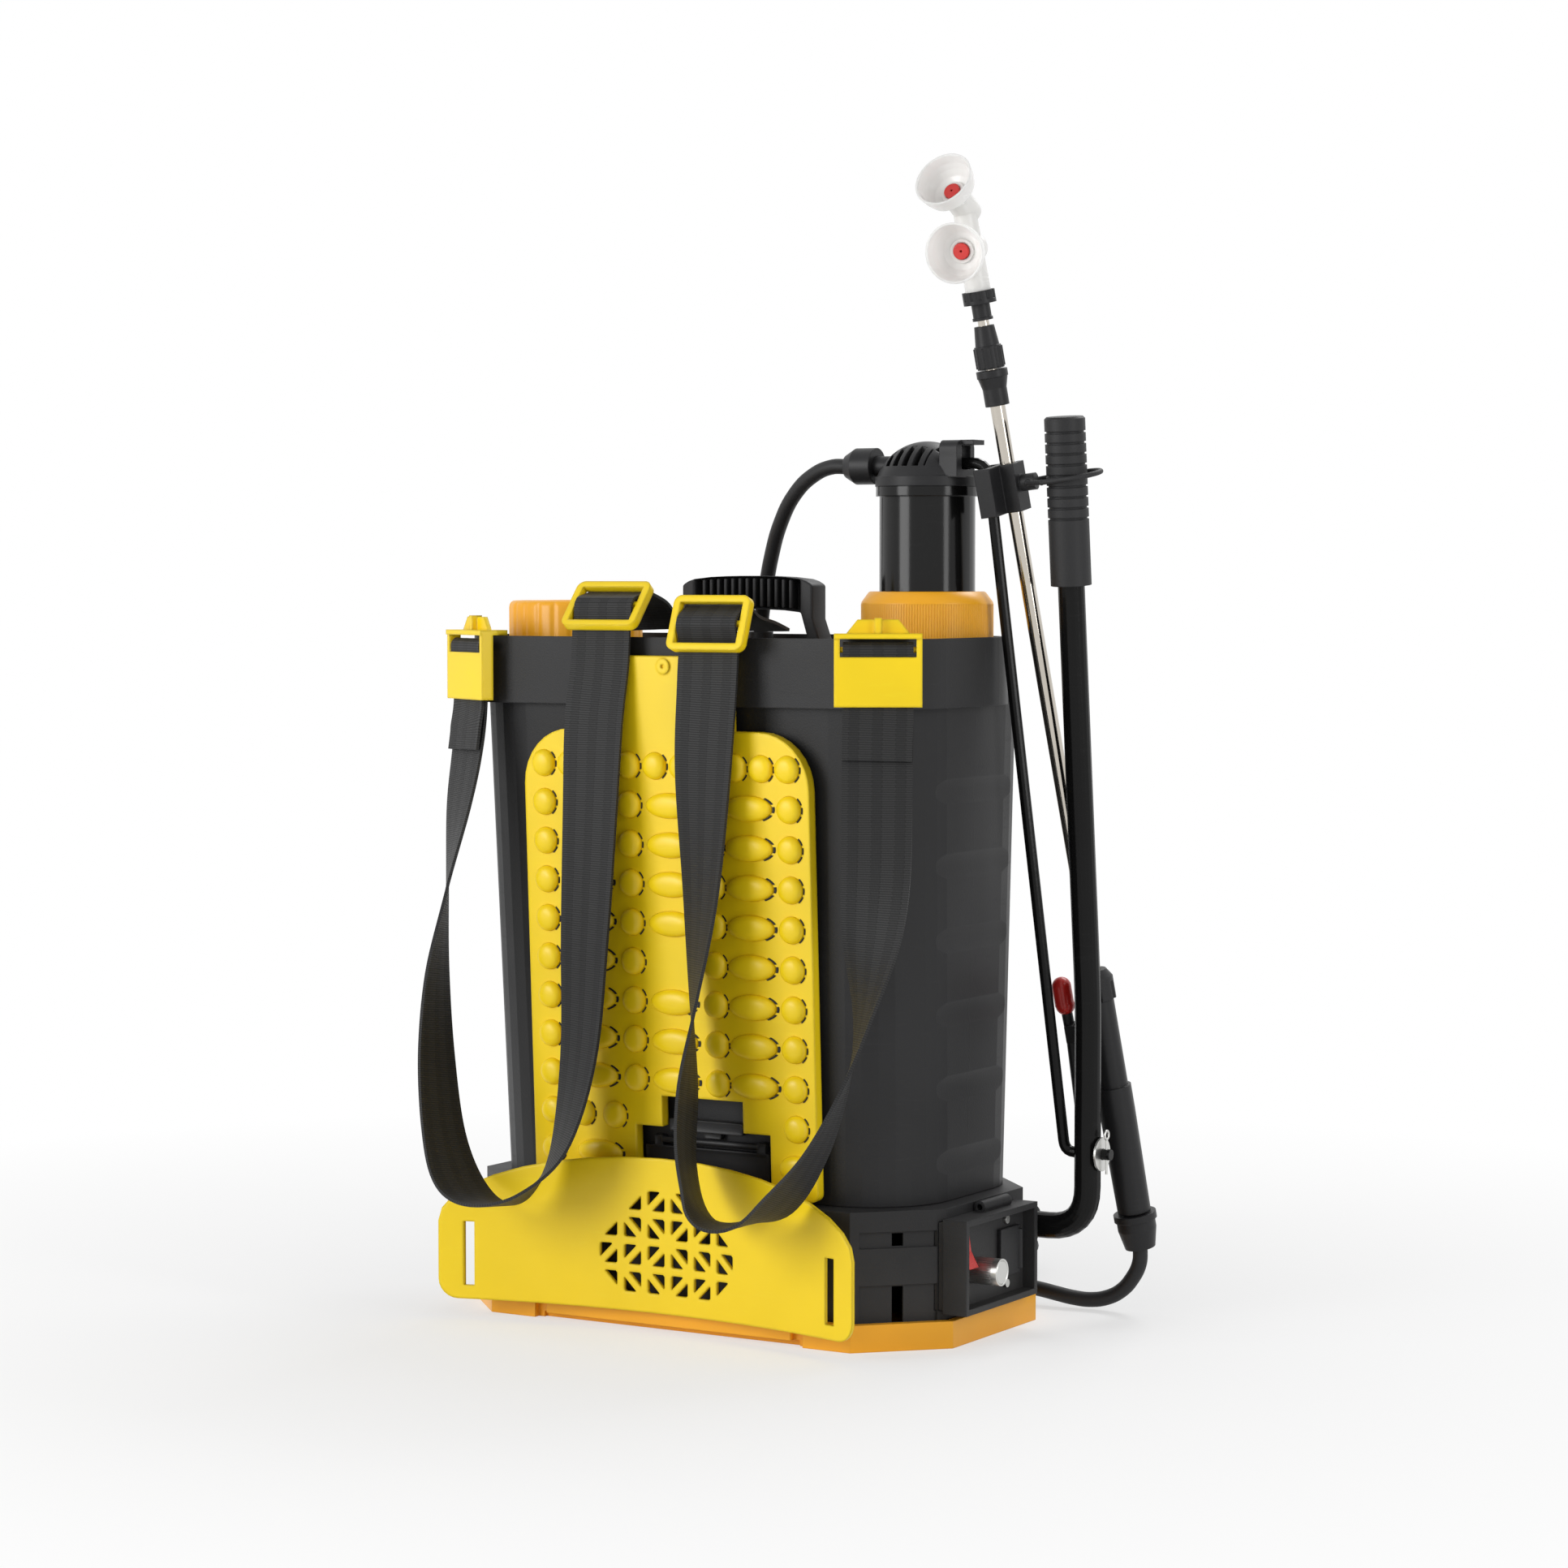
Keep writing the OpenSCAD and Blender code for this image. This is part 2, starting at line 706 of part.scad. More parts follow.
module strap_buckles() {
  buckle(at_bar(-48, -56, 22), [-40, 0, 0]);
  buckle(at_bar(44, -67, 10), [-20, 0, 0]);
}

// Control box on the right side

control_y = -10;
control_z = 56;
control_in = housing_x - 2 - 8;
control_face = housing_x - 2 + box_out;
box_t = 4.2;
box_lip = 2;
box_floor = 3;
box_deep = 10;
floor_x = control_face - box_deep;

module control_box() {
  set_in = box_lip + seat;
  tube_y = control_y - 9;
  color(black) difference() {
    union() {
      translate([control_in, control_y - box_len / 2 + set_in, control_z - box_h / 2 + set_in])
        cube([control_face - control_in, box_len - 2 * set_in, box_h - 2 * set_in]);
      translate([housing_x - 2 + seat, control_y - box_len / 2, control_z - box_h / 2])
        cube([control_face - housing_x + 2 - seat, box_len, box_h]);
      translate([housing_x + 3.5, tube_y, control_z + box_h / 2 + 3])
        rotate([-90, 0, 0]) ring(4.5, 2.2, 40);
      translate([housing_x, tube_y, control_z + box_h / 2 - 1]) cube([6, 40, 2]);
    }
    for (x = [floor_x - box_floor - 80, floor_x])
      translate([x, control_y - box_len / 2 + box_t, control_z - box_h / 2 + box_t])
        cube([80, box_len - 2 * box_t, box_h - 2 * box_t]);
    translate([floor_x - 10, knob_y, knob_z]) rotate([0, 90, 0]) cylinder(r = 3 + run_gap, h = 20);
    translate([floor_x - 10, switch_y - 6.5 - seat, switch_z - 13.5]) cube([20, 13 + 2 * seat, 27]);
    translate([floor_x - 10, flap_y, flap_z]) rotate([0, 90, 0]) cylinder(r = 8 + seat, h = 20);
    for (z = control_screw_z)
      translate([floor_x - 10, control_screw_y, z]) rotate([0, 90, 0]) cylinder(r = 1.7, h = 20);
  }
}

knob_y = control_y - 25;
knob_z = control_z - 5;
switch_y = control_y - 41.5;
switch_z = control_z + 10;
flap_y = control_y + 23;
flap_z = control_z + 1;
control_screw_y = flap_y - 0.4;
control_screw_z = [flap_z - 22.7, flap_z + 22.7];

module case_screws() {
  color(steel) {
    for (z = control_screw_z)
      translate([floor_x + seat, control_screw_y, z]) rotate([0, 90, 0]) {
        cylinder(r = 3, h = 2);
        translate([0, 0, -8]) cylinder(r = 1.6, h = 8 + eps);
      }
    for (x = [-1, 1])
      translate([x * panel_post_x, panel_y + 1, panel_post_z])
        rotate([-90, 0, 0]) cylinder(r = 2, h = panel_post_len - 2);
    for (x = [-1, 1])
      translate([x * 65, handle_y, deck_z + 0.5]) cylinder(r = 2, h = 11);
  }
}

module charge_socket() {
  color([0.25, 0.25, 0.25])
    translate([floor_x - 12, flap_y, flap_z]) rotate([0, 90, 0]) ring(8, 3.2, 11);
}

module switch_rocker() {
  color([0.75, 0.07, 0.06])
    translate([floor_x, switch_y - 6.5, switch_z])
      rotate([-90, 0, 0])
        linear_extrude(13)
          polygon([[-6, 10], [2, 11], [10, 11], [4, 0], [2.5, -11], [-6, -10]]);
}

module speed_knob() {
  color(steel)
    translate([floor_x, knob_y, knob_z]) rotate([0, 90, 0]) {
      translate([0, 0, -8]) cylinder(r = 3, h = 10);
      difference() {
        translate([0, 0, 1]) cylinder(r = knob_r, h = 22);
        translate([0, 0, 22]) ring(knob_r - 0.8, knob_r - 1.4, 2);
        translate([-0.6, 2, 22.4]) cube([1.2, 4, 2]);
      }
    }
}

module socket_flap() {
  hinge_y = flap_y + 16;
  color(black) {
    translate([floor_x + seat, flap_y - 12.5, flap_z - 17]) cube([3, 28.5, 34]);
    translate([floor_x + seat + 2.5, hinge_y, flap_z - 14]) cylinder(r = 2.5, h = 28);
  }
}

// Filler lid

module filler_lid() {
  ribs = 72;
  color(orange) translate([lid_x, lid_y, lid_z]) {
    difference() {
      union() {
        cylinder(r = lid_r, h = lid_h - 4);
        translate([0, 0, lid_h - 4 - eps]) cylinder(r1 = lid_r, r2 = lid_r - 3, h = 4);
      }
      translate([0, 0, -1]) cylinder(r = lid_r - cap_wall, h = lid_h - cap_wall + 1);
      for (a = [0 : 360 / ribs : 359])
        rotate([0, 0, a]) translate([lid_r, 0, 2]) cylinder(r = 0.7, h = lid_h - 9, $fn = 6);
    }
  }
}

module lid_seal() {
  color([0.12, 0.12, 0.12])
    translate([lid_x, lid_y, neck_top + seat])
      ring(lid_r - cap_wall - 2, lid_neck_r - neck_wall, seal_t);
}

module strainer_basket() {
  r = lid_neck_r - neck_wall - 0.5;
  depth = 80;
  color([0.85, 0.85, 0.8]) translate([lid_x, lid_y, neck_top - depth - 2]) difference() {
    cylinder(r = r, h = depth);
    translate([0, 0, 2]) cylinder(r = r - 2, h = depth);
    for (a = [0 : 45 : 359], z = [12 : 16 : depth - 20])
      rotate([0, 0, a]) translate([0, 0, z]) rotate([0, 90, 0]) cylinder(r = 4, h = 2 * r);
  }
}

// Hand pump

module pump_collar() {
  ribs = 96;
  color(orange) translate([pump_x, pump_y, collar_z]) difference() {
    union() {
      cylinder(r = collar_r, h = collar_h - 8);
      translate([0, 0, collar_h - 8 - eps]) cylinder(r1 = collar_r, r2 = collar_r - 6, h = 8);
    }
    translate([0, 0, -1]) cylinder(r = collar_r - cap_wall, h = collar_h - cap_wall + 1);
    cylinder(r = chamber_r + 0.6, h = 100);
    for (a = [0 : 360 / ribs : 359])
      rotate([0, 0, a]) translate([collar_r, 0, 2]) cylinder(r = 0.45, h = collar_h - 13, $fn = 6);
  }
}

module pump_barrel() {
  color([0.8, 0.8, 0.76]) translate([pump_x, pump_y, 0]) difference() {
    union() {
      translate([0, 0, barrel_low]) cylinder(r = barrel_out, h = pump_neck_top - barrel_low);
      translate([0, 0, pump_neck_top + seat]) cylinder(r = pump_neck_r - 2, h = barrel_flange_t);
      translate([0, 0, pump_neck_top - 1]) cylinder(r = barrel_out, h = 2);
    }
    translate([0, 0, barrel_low + 6]) cylinder(r = barrel_in, h = 600);
    translate([0, 0, barrel_low - 1]) cylinder(r = 9, h = 10);
  }
}

module inlet_valve() {
  color([0.12, 0.12, 0.12]) translate([pump_x, pump_y, barrel_low + 6 + seat]) {
    cylinder(r = 16, h = 4);
    translate([0, 0, -8]) cylinder(r = 8.5, h = 8 + eps);
  }
}

module air_chamber() {
  color(black) translate([pump_x, pump_y, 0]) difference() {
    union() {
      translate([0, 0, chamber_low]) cylinder(r = chamber_r, h = chamber_len);
      translate([0, 0, chamber_top - 7]) cylinder(r = chamber_r + 2.5, h = 7);
    }
    translate([0, 0, chamber_low + 5]) cylinder(r = chamber_r - chamber_wall, h = chamber_len);
    translate([0, 0, chamber_low - 1]) cylinder(r = 6, h = 10);
    translate([0, 0, chamber_low + 8]) ring(chamber_r + 1, chamber_r - 1.8, 6);
  }
}

module piston_seal() {
  color([0.1, 0.1, 0.1])
    translate([pump_x, pump_y, chamber_low + 8.3]) ring(chamber_r + 0.2, chamber_r - 1.5, 5.4);
}

module chamber_cap() {
  fins = [-21, -13, -5, 3, 11];
  dome_r = 38;
  lug_low = chamber_top + 6;
  lug_top = rod_top[2] + rod_r + slip_z + 4;
  color(black) difference() {
    union() {
      translate([pump_x, pump_y, chamber_top]) {
        cylinder(r = chamber_r + 3, h = 7);
        intersection() {
          translate([0, 0, -6]) sphere(r = dome_r);
          translate([-60, -60, 6]) cube([120, 120, 60]);
          union() {
            for (x = fins) translate([x - 1.7, -60, 0]) cube([3.4, 120, 60]);
            translate([14, -60, 0]) cube([30, 120, 60]);
            translate([-60, -16, 0]) cube([90, 32, 60]);
            translate([-60, -60, 0]) cube([120, 120, 14]);
          }
        }
      }
      translate([pump_x - 24, pump_y, spigot_z - 6])
        rotate([0, -90, 0]) cylinder(r = spigot_r, h = nut_gap + nut_len - 8);
      translate([pump_x - 26, pump_y - 8, chamber_top + 6]) cube([20, 16, 14]);
      translate([lug_in, 0, 0]) rotate([90, 0, 90]) linear_extrude(14) hull() {
        for (y = [-10, 4]) translate([rod_top[1] + y, lug_top - 6]) circle(6, $fn = hull_fn);
        translate([rod_top[1] - 16, lug_low]) square([26, 4]);
      }
      translate([lug_in, rod_top[1] - 10, lug_top - 3.4]) cube([rod_top[0] - lug_in - 6, 16, 3.4]);
    }
    translate([pump_x - 80, pump_y, spigot_z - 6]) rotate([0, 90, 0]) cylinder(r = 4, h = 70);
    translate([lug_in - 7, rod_top[1] - rod_r - slip_y - seat, rod_top[2] - rod_r - seat])
      cube([26, 2 * rod_r + slip_y + 2 * seat, 2 * rod_r + slip_z + 2 * seat]);
  }
}

module chamber_hose_nut() {
  color(black)
    translate([pump_x - 24 - nut_gap, pump_y, spigot_z - 6])
      rotate([0, -90, 0]) difference() {
        union() {
          cylinder(r = nut_r, h = nut_len - 8);
          translate([0, 0, nut_len - 8 - eps]) cylinder(r1 = nut_r, r2 = hose_r + 3, h = 8);
        }
        translate([0, 0, -1]) cylinder(r = spigot_r + 0.2, h = nut_len - 7);
        cylinder(r = hose_r_in, h = 100);
      }
}

chamber_hose_path = [
  [pump_x - 24 - nut_gap - nut_len + 6, pump_y, spigot_z - 6],
  [60, pump_y, spigot_z - 6], [42, 18, 605], [24, 23, 592], [8, 30, 572], [-5, 38, 547], [-14, 44, 520],
  [-19, 47, 500], [-20, 48, deck_z + 12], [-20, 48, deck_z + 9]
];

module chamber_hose() {
  color(black) tube_along(smooth(chamber_hose_path, 3), hose_r, 10);
}

module deck_fitting() {
  color(black) translate([-20, 48, deck_z]) {
    ring(10, 4, 8);
    translate([0, 0, 8 - eps]) ring(9, hose_r_in, 10);
  }
}

// Lever and connecting rod

module lever_bushes() {
  color([0.3, 0.3, 0.3])
    translate([housing_x - 20, shaft_y, shaft_z])
      rotate([0, 90, 0]) ring(lever_r + 3.7, lever_r + run_gap, 26);
}

lever_knee_at = [lever_x, shaft_y, lever_knee];
lever_top_at = [lever_x, shaft_y - lever_lean, lever_top];
grip_from = lever_top_at + (lever_knee_at - lever_top_at) * grip_len / norm(lever_knee_at - lever_top_at);

lever_foot = [housing_x - 24, shaft_y, shaft_z];
lever_elbow = [lever_x, shaft_y, shaft_z];
lever_path = concat(
  [lever_foot],
  bend(lever_foot, lever_elbow, lever_knee_at, lever_bend, 8),
  bend(lever_elbow, lever_knee_at, lever_top_at, 20, 3),
  [lever_top_at]
);

bore_path = concat(
  [[lever_x, shaft_y, shaft_z + lever_bend + 4]],
  bend(lever_elbow, lever_knee_at, lever_top_at, 20, 3),
  [lever_top_at + 4 * unit(lever_top_at - lever_knee_at)]
);

module lever_tube() {
  bore = lever_r - 1.6;
  color(black) difference() {
    tube_along(lever_path, lever_r, 20);
    tube_along(bore_path, bore, 20, [0, 1, 0]);
    translate([lever_x - 40, shaft_y, pin_z]) rotate([0, 90, 0]) cylinder(r = rod_r + run_gap, h = 80);
  }
}

module lever_grip() {
  grooves = 9;
  color([0.12, 0.12, 0.12])
    between(grip_from, lever_top_at) difference() {
      union() {
        cylinder(r = grip_r, h = grip_len + 2);
        translate([0, 0, grip_len + 2 - eps]) cylinder(r1 = grip_r, r2 = grip_r - 1.5, h = 1.5);
      }
      translate([0, 0, -1]) cylinder(r = lever_r, h = grip_len + 1);
      for (i = [0 : grooves - 1])
        translate([0, 0, 46 + i * 7.5]) ring(grip_r + 1, grip_r - 1.2, 1.6);
    }
}

cotter_x = lever_x + lever_r + 5.5;
cotter_r = 0.9;
knuckle = 0.3;

rod_foot = [rod_pin_end, shaft_y, pin_z];
rod_end = [lug_in - 4, rod_top[1], rod_top[2]];
rod_path = concat(
  [rod_foot],
  bend(rod_foot, rod_low, rod_top, 8, 5),
  bend(rod_low, rod_top, rod_end, 12, 5),
  [rod_end]
);

module link_rod() {
  color(black) difference() {
    tube_along(rod_path, rod_r, 12);
    translate([cotter_x, shaft_y, pin_z - 20]) cylinder(r = cotter_r + run_gap, h = 40);
  }
}

module link_washer() {
  color(steel)
    translate([lever_x + lever_r + 1, shaft_y, pin_z]) rotate([0, 90, 0]) ring(12, rod_r + run_gap, 1.6);
}

module link_cotter() {
  color(steel) {
    translate([cotter_x, shaft_y, pin_z - 14]) cylinder(r = cotter_r, h = 26);
    translate([cotter_x, shaft_y, pin_z + 14])
      rotate([0, 90, 0]) rotate_extrude() translate([3, 0]) circle(cotter_r);
  }
}

// Lance

module lance_frame() {
  translate(lance_at) rotate(lance_turn) children();
}

bail_out = 15;
bail_reach = 51;
bail_wire = 1.8;

bail_turn = 7;

module lance_clip() {
  jaw = 15;
  color(black) lance_frame() difference() {
    union() {
      translate([-7.6, -8.4, -17]) cube([16, 16.8, 34]);
      translate([-7.6, -24, -17]) cube([5, 17, 34]);
      translate([-jaw, -24, -17]) cube([jaw - 4, 3.6, 34]);
      translate([-jaw, 0.4, -17]) cube([jaw - 7, 3.6, 34]);
      rotate([0, 0, bail_turn]) translate([7, 0, 2]) rotate([0, 90, 0]) cylinder(r = 6, h = 12);
    }
    translate([0, 0, -40]) cylinder(r = lance_r + run_gap, h = 80);
    translate([-3.6, 0, -40]) cube([7.2, 40, 80]);
    rotate([0, 0, bail_turn])
      translate([bail_out, 20, 2]) rotate([90, 0, 0]) cylinder(r = bail_wire + seat, h = 40);
  }
}

module grip_bail() {
  half = grip_r + 3;
  neck = 8;
  color(black) lance_frame() rotate([0, 0, bail_turn]) translate([bail_out, 0, 2]) {
    translate([0, neck, 0]) rotate([90, 0, 0]) cylinder(r = bail_wire, h = 2 * neck);
    for (s = [-1, 1]) {
      rod([0, s * neck, 0], [14, s * half, 0], bail_wire);
      rod([14, s * half, 0], [bail_reach - half, s * half, 0], bail_wire);
      translate([14, s * half, 0]) sphere(r = bail_wire + knuckle);
      translate([0, s * neck, 0]) sphere(r = bail_wire + knuckle);
    }
    translate([bail_reach - half, 0, 0])
      rotate([0, 0, -90]) rotate_extrude(angle = 180) translate([half, 0]) circle(bail_wire);
  }
}

module lance_tube() {
  color(steel) lance_frame()
    translate([0, 0, tube_low - 40]) ring(lance_r, inner_r + run_gap, lance_len + 40);
}

module lance_handle() {
  valve_len = 64;
  grip_at = handle_low;
  color(black) lance_frame() difference() {
    union() {
      translate([0, 0, handle_low + 76]) cylinder(r = handle_r, h = 18);
      translate([0, 0, grip_at]) cylinder(r1 = handle_r - 1, r2 = handle_r, h = 76 + eps);
      translate([0, 0, handle_low + 94 - eps]) cylinder(r = handle_r - 2, h = valve_len);
      translate([0, 0, handle_low - 10]) cylinder(r = 8, h = 10 + eps);
      translate([-handle_r - 8, -4, handle_low + 128]) cube([handle_r, 8, 14]);
    }
    translate([0, 0, handle_low + 94]) cylinder(r = lance_r + run_gap, h = 200);
    translate([0, 0, handle_low - 20]) cylinder(r = 4, h = 200);
    translate([trigger_x, -20, trigger_z]) rotate([-90, 0, 0]) cylinder(r = pin_r + 0.05, h = 40);
  }
}

module handle_nut() {
  color(black) lance_frame()
    translate([0, 0, tube_low + seat]) difference() {
      union() {
        ring(13, lance_r + 0.1, 16);
        translate([0, 0, 16 - eps]) difference() {
          cylinder(r1 = 13, r2 = 9, h = 6);
          translate([0, 0, -1]) cylinder(r = lance_r + 0.1, h = 8);
        }
      }
      for (a = [0 : 60 : 359])
        rotate([0, 0, a]) translate([14, 0, -1]) cylinder(r = 2.4, h = 14);
    }
}

trigger_x = -handle_r - 4;
trigger_z = handle_low + 135;

pin_r = 1.9;

module trigger() {
  color(black) lance_frame() translate([trigger_x, 0, trigger_z]) difference() {
    union() {
      translate([-5, -8, -6]) cube([9, 3.4, 12]);
      translate([-5, 4.6, -6]) cube([9, 3.4, 12]);
      translate([-10, -8, -6]) cube([5 + eps, 16, 12]);
      rod([-9.2, 0, 0], [-14, 0, -92], 4);
      translate([-14, 0, -92]) sphere(r = 4 + knuckle);
      rod([-9.6, 0, 4], [-10, 0, 20], 4);
    }
    translate([0, -20, 0]) rotate([-90, 0, 0]) cylinder(r = pin_r + run_gap, h = 40);
  }
}

module trigger_pin() {
  color(steel) lance_frame()
    translate([trigger_x, 9, trigger_z]) rotate([90, 0, 0]) cylinder(r = pin_r, h = 18);
}

module trigger_tip() {
  color([0.7, 0.06, 0.06]) lance_frame()
    translate([trigger_x - 10.2, 0, trigger_z + 20]) {
      sphere(r = 7);
      translate([-0.4, 0, 0]) cylinder(r = 7, h = 14);
      translate([-0.4, 0, 14]) sphere(r = 7);
    }
}

module hose_nut() {
  color(black) lance_frame()
    translate([0, 0, handle_low - hose_nut_len - 1]) difference() {
      union() {
        cylinder(r1 = 11, r2 = 14, h = hose_nut_len - 12 + eps);
        translate([0, 0, hose_nut_len - 12]) cylinder(r = 14, h = 7 + eps);
        translate([0, 0, hose_nut_len - 5]) cylinder(r = 15.5, h = 5);
      }
      translate([0, 0, 14]) cylinder(r = 8 + 0.2, h = 40);
      translate([0, 0, -1]) cylinder(r = hose_r_in, h = 40);
    }
}

module lock_nut() {
  color(black) lance_frame()
    translate([0, 0, 58]) difference() {
      union() {
        cylinder(r = 8.5, h = 12);
        translate([0, 0, 12 - eps]) cylinder(r1 = 8.5, r2 = 10.5, h = 8);
        translate([0, 0, 20 - 2 * eps]) cylinder(r = 11, h = 5);
      }
      translate([0, 0, -1]) cylinder(r = lance_r + run_gap, h = 9 + eps);
      translate([0, 0, -1]) cylinder(r = inner_r + 0.3, h = 60);
    }
}

module inner_tube() {
  color(steel) lance_frame()
    translate([0, 0, -260]) ring(inner_r, inner_r - 1, 386);
}

module nozzle_socket() {
  color(black) lance_frame() difference() {
    union() {
      translate([0, 0, 84]) cylinder(r = 9.5, h = 16);
      translate([0, 0, 100 - eps]) cylinder(r1 = 8.5, r2 = 7, h = 14);
      for (a = [0 : 30 : 359])
        rotate([0, 0, a]) translate([9.3, 0, 85]) cylinder(r = 1, h = 14);
    }
    translate([0, 0, 60]) cylinder(r = inner_r + 0.05, h = 68);
  }
}

stem_top = 136;

module nozzle_stem() {
  color(black) lance_frame() difference() {
    union() {
      translate([0, 0, 118]) cylinder(r = 6.5, h = 14);
      translate([0, 0, 118]) cylinder(r = 7.2, h = 2);
      translate([0, 0, 132 - eps]) cylinder(r = 8.6, h = stem_top - 132);
    }
    translate([0, 0, 100]) cylinder(r = inner_r + 0.05, h = 26.3);
    translate([0, 0, 100]) cylinder(r = 2.5, h = 60);
  }
}

module nozzle_nut() {
  color(black) lance_frame()
    translate([0, 0, 129.5]) difference() {
      cylinder(r = 11.5, h = 9);
      translate([0, 0, -1]) cylinder(r = 6.5 + seat, h = 20);
      translate([0, 0, 2.2]) cylinder(r = 9 + seat, h = 20);
      for (a = [0 : 30 : 359])
        rotate([0, 0, a]) translate([12.1, 0, 3]) cylinder(r = 1.4, h = 12);
    }
}

cup_places = [[168, 90, 7], [197, 50, 3]];
cup_depth = 34;

module at_cup(i) {
  translate([0, 0, cup_places[i][0]])
    rotate([cup_places[i][1], 0, cup_places[i][2]]) children();
}

module cup_shape(inset, low) {
  rotate_extrude()
    polygon([[0, low], [9.6 - inset, low], [14.5 - inset, 17.5 + inset], [18 - inset, 21.5 + inset],
      [19.8 - inset, 27], [cup_r - inset, cup_depth + (inset > 0 ? 1 : 0)],
      [0, cup_depth + (inset > 0 ? 1 : 0)]]);
}

module nozzle_body() {
  color([0.93, 0.93, 0.91]) lance_frame() difference() {
    union() {
      translate([0, 0, stem_top + seat]) cylinder(r1 = 9, r2 = 8, h = 200 - stem_top);
      for (i = [0, 1])
        at_cup(i) {
          translate([0, 0, -8.5]) cylinder(r = 9.4, h = 24);
          difference() {
            cup_shape(0, 15);
            cup_shape(1.4, 16.6);
          }
          translate([0, 0, 15]) cylinder(r = 8.4, h = 3.6);
        }
    }
    translate([0, 0, 130]) cylinder(r = 3.5, h = 64);
    for (i = [0, 1])
      at_cup(i) translate([0, 0, 8]) cylinder(r = 6, h = 20);
  }
}

module nozzle_tips() {
  color([0.85, 0.12, 0.08]) lance_frame()
    for (i = [0, 1])
      at_cup(i) translate([0, 0, 8 + seat]) difference() {
        cylinder(r = 5.7, h = 12);
        translate([0, 0, 8]) cylinder(r = 0.8, h = 10);
      }
}

// Spray hose, put away in a flat coil behind the tank

outlet_x = 115;
outlet_z = 46;
outlet_in = housing_y - 8;
coil_at = [40, 206];
coil_r_out = 72;
coil_step = 13.4;
coil_layer = 12.8;
coil_low = hose_r + 1.5;
coil_in_turns = 1;
coil_out_turns = 1.25;
coil_rings = 24;

function coil_r(u) =
  u < coil_in_turns ? coil_r_out - coil_step * u :
  u < coil_in_turns + 0.5 ? coil_r_out - coil_step * coil_in_turns - 2 * sin(360 * (u - coil_in_turns)) :
  coil_r_out - coil_step * coil_in_turns + coil_step * (u - coil_in_turns - 0.5);

function coil_z(u) =
  u < coil_in_turns ? coil_low :
  u < coil_in_turns + 0.5 ? coil_low + coil_layer * (1 - cos(360 * (u - coil_in_turns))) / 2 :
  coil_low + coil_layer;

coil_turns = coil_in_turns + 0.5 + coil_out_turns;
coil_path = [
  for (i = [0 : coil_rings * coil_turns])
    let (u = i / coil_rings, a = -90 - 360 * u)
    [coil_at[0] + coil_r(u) * cos(a), coil_at[1] + coil_r(u) * sin(a), coil_z(u)]
];

coil_gap = min([
  for (i = [0 : len(coil_path) - 1], j = [i + coil_rings / 2 : 1 : len(coil_path) - 1])
    norm(coil_path[i] - coil_path[j]) - 2 * hose_r
]);
echo(coil_least_gap = coil_gap);

module hose_coil() {
  color(black) tube_along(coil_path, hose_r, 6);
}

lance_up = [
  cos(lance_turn[0]) * sin(lance_turn[1]), -sin(lance_turn[0]), cos(lance_turn[0]) * cos(lance_turn[1])
];

function on_lance(s) = lance_at + s * lance_up;

spray_hose_path = [
  on_lance(hose_end_s), on_lance(handle_low - hose_nut_len - 1), [256.8, 118.4, 37.2], [250.9, 119.2, 25.8],
  [242.3, 119.3, 16.2], [231.1, 118.5, 10], [218.6, 116.9, 7.5], [205.8, 115.3, 8], [193, 114.5, 9.8],
  [180.2, 115.1, 11.5], [167.4, 117.1, 12.2], [154.8, 120.2, 11.8], [142.4, 123.4, 10.6],
  [129.9, 126.4, 9.3],
  [117.3, 129, 8.2], [104.5, 131, 7.5], [91.7, 132.4, 7.2], [78.8, 133.3, coil_low], [65.9, 133.8, coil_low],
  [52.9, 134, coil_low], [40, 134, coil_low]
];
coil_end = coil_path[len(coil_path) - 1];
feed_path = [
  coil_end, [115.3, 193.4, 20.5], [115.1, 181.3, 24.3], [outlet_x, 169.9, 29.8], [outlet_x, 158.9, 35.9],
  [outlet_x, 147.4, 41.3], [outlet_x, 135.2, 44.8], [outlet_x, 123, outlet_z], [outlet_x, 116, outlet_z],
  [outlet_x, 110, outlet_z]
];

module spray_hose() {
  color(black) tube_along(smooth(spray_hose_path, 2), hose_r, 8);
}

module hose_feed() {
  color(black) tube_along(smooth(feed_path, 2), hose_r, 8);
}

module hose_tie() {
  near = coil_r_out - coil_step - hose_r - 0.8;
  far = coil_r_out + hose_r + 0.8;
  high = coil_low + coil_layer + hose_r + 0.6;
  band = 1;
  color([0.2, 0.2, 0.2])
    translate([coil_at[0] - 5, coil_at[1] + near - band, 0.1]) difference() {
      cube([10, far - near + 2 * band, high + band]);
      translate([-1, band, band]) cube([12, far - near, high - band - 0.1]);
    }
}

module hose_outlet() {
  color(black)
    translate([outlet_x, outlet_in, outlet_z]) rotate([-90, 0, 0]) {
      ring(hose_r + 2.7, hose_r_in, 18);
      translate([0, 0, 9.6]) ring(hose_r + 7, hose_r_in, 5);
    }
}

base_tray();
lower_housing();
tank_shell();
battery_pack();
electric_pump();
back_pad();
lumbar_panel();
battery_cover();
carry_handle();
anchor_bar();
strap_clips();
strap_left();
strap_right();
strap_buckles();
control_box();
case_screws();
charge_socket();
switch_rocker();
speed_knob();
socket_flap();
filler_lid();
lid_seal();
strainer_basket();
pump_collar();
pump_barrel();
inlet_valve();
air_chamber();
chamber_cap();
piston_seal();
chamber_hose_nut();
chamber_hose();
deck_fitting();
lever_bushes();
lever_tube();
lever_grip();
link_rod();
link_washer();
link_cotter();
lance_clip();
grip_bail();
lance_tube();
lance_handle();
handle_nut();
trigger();
trigger_pin();
trigger_tip();
hose_nut();
lock_nut();
inner_tube();
nozzle_socket();
nozzle_stem();
nozzle_nut();
nozzle_body();
nozzle_tips();
spray_hose();
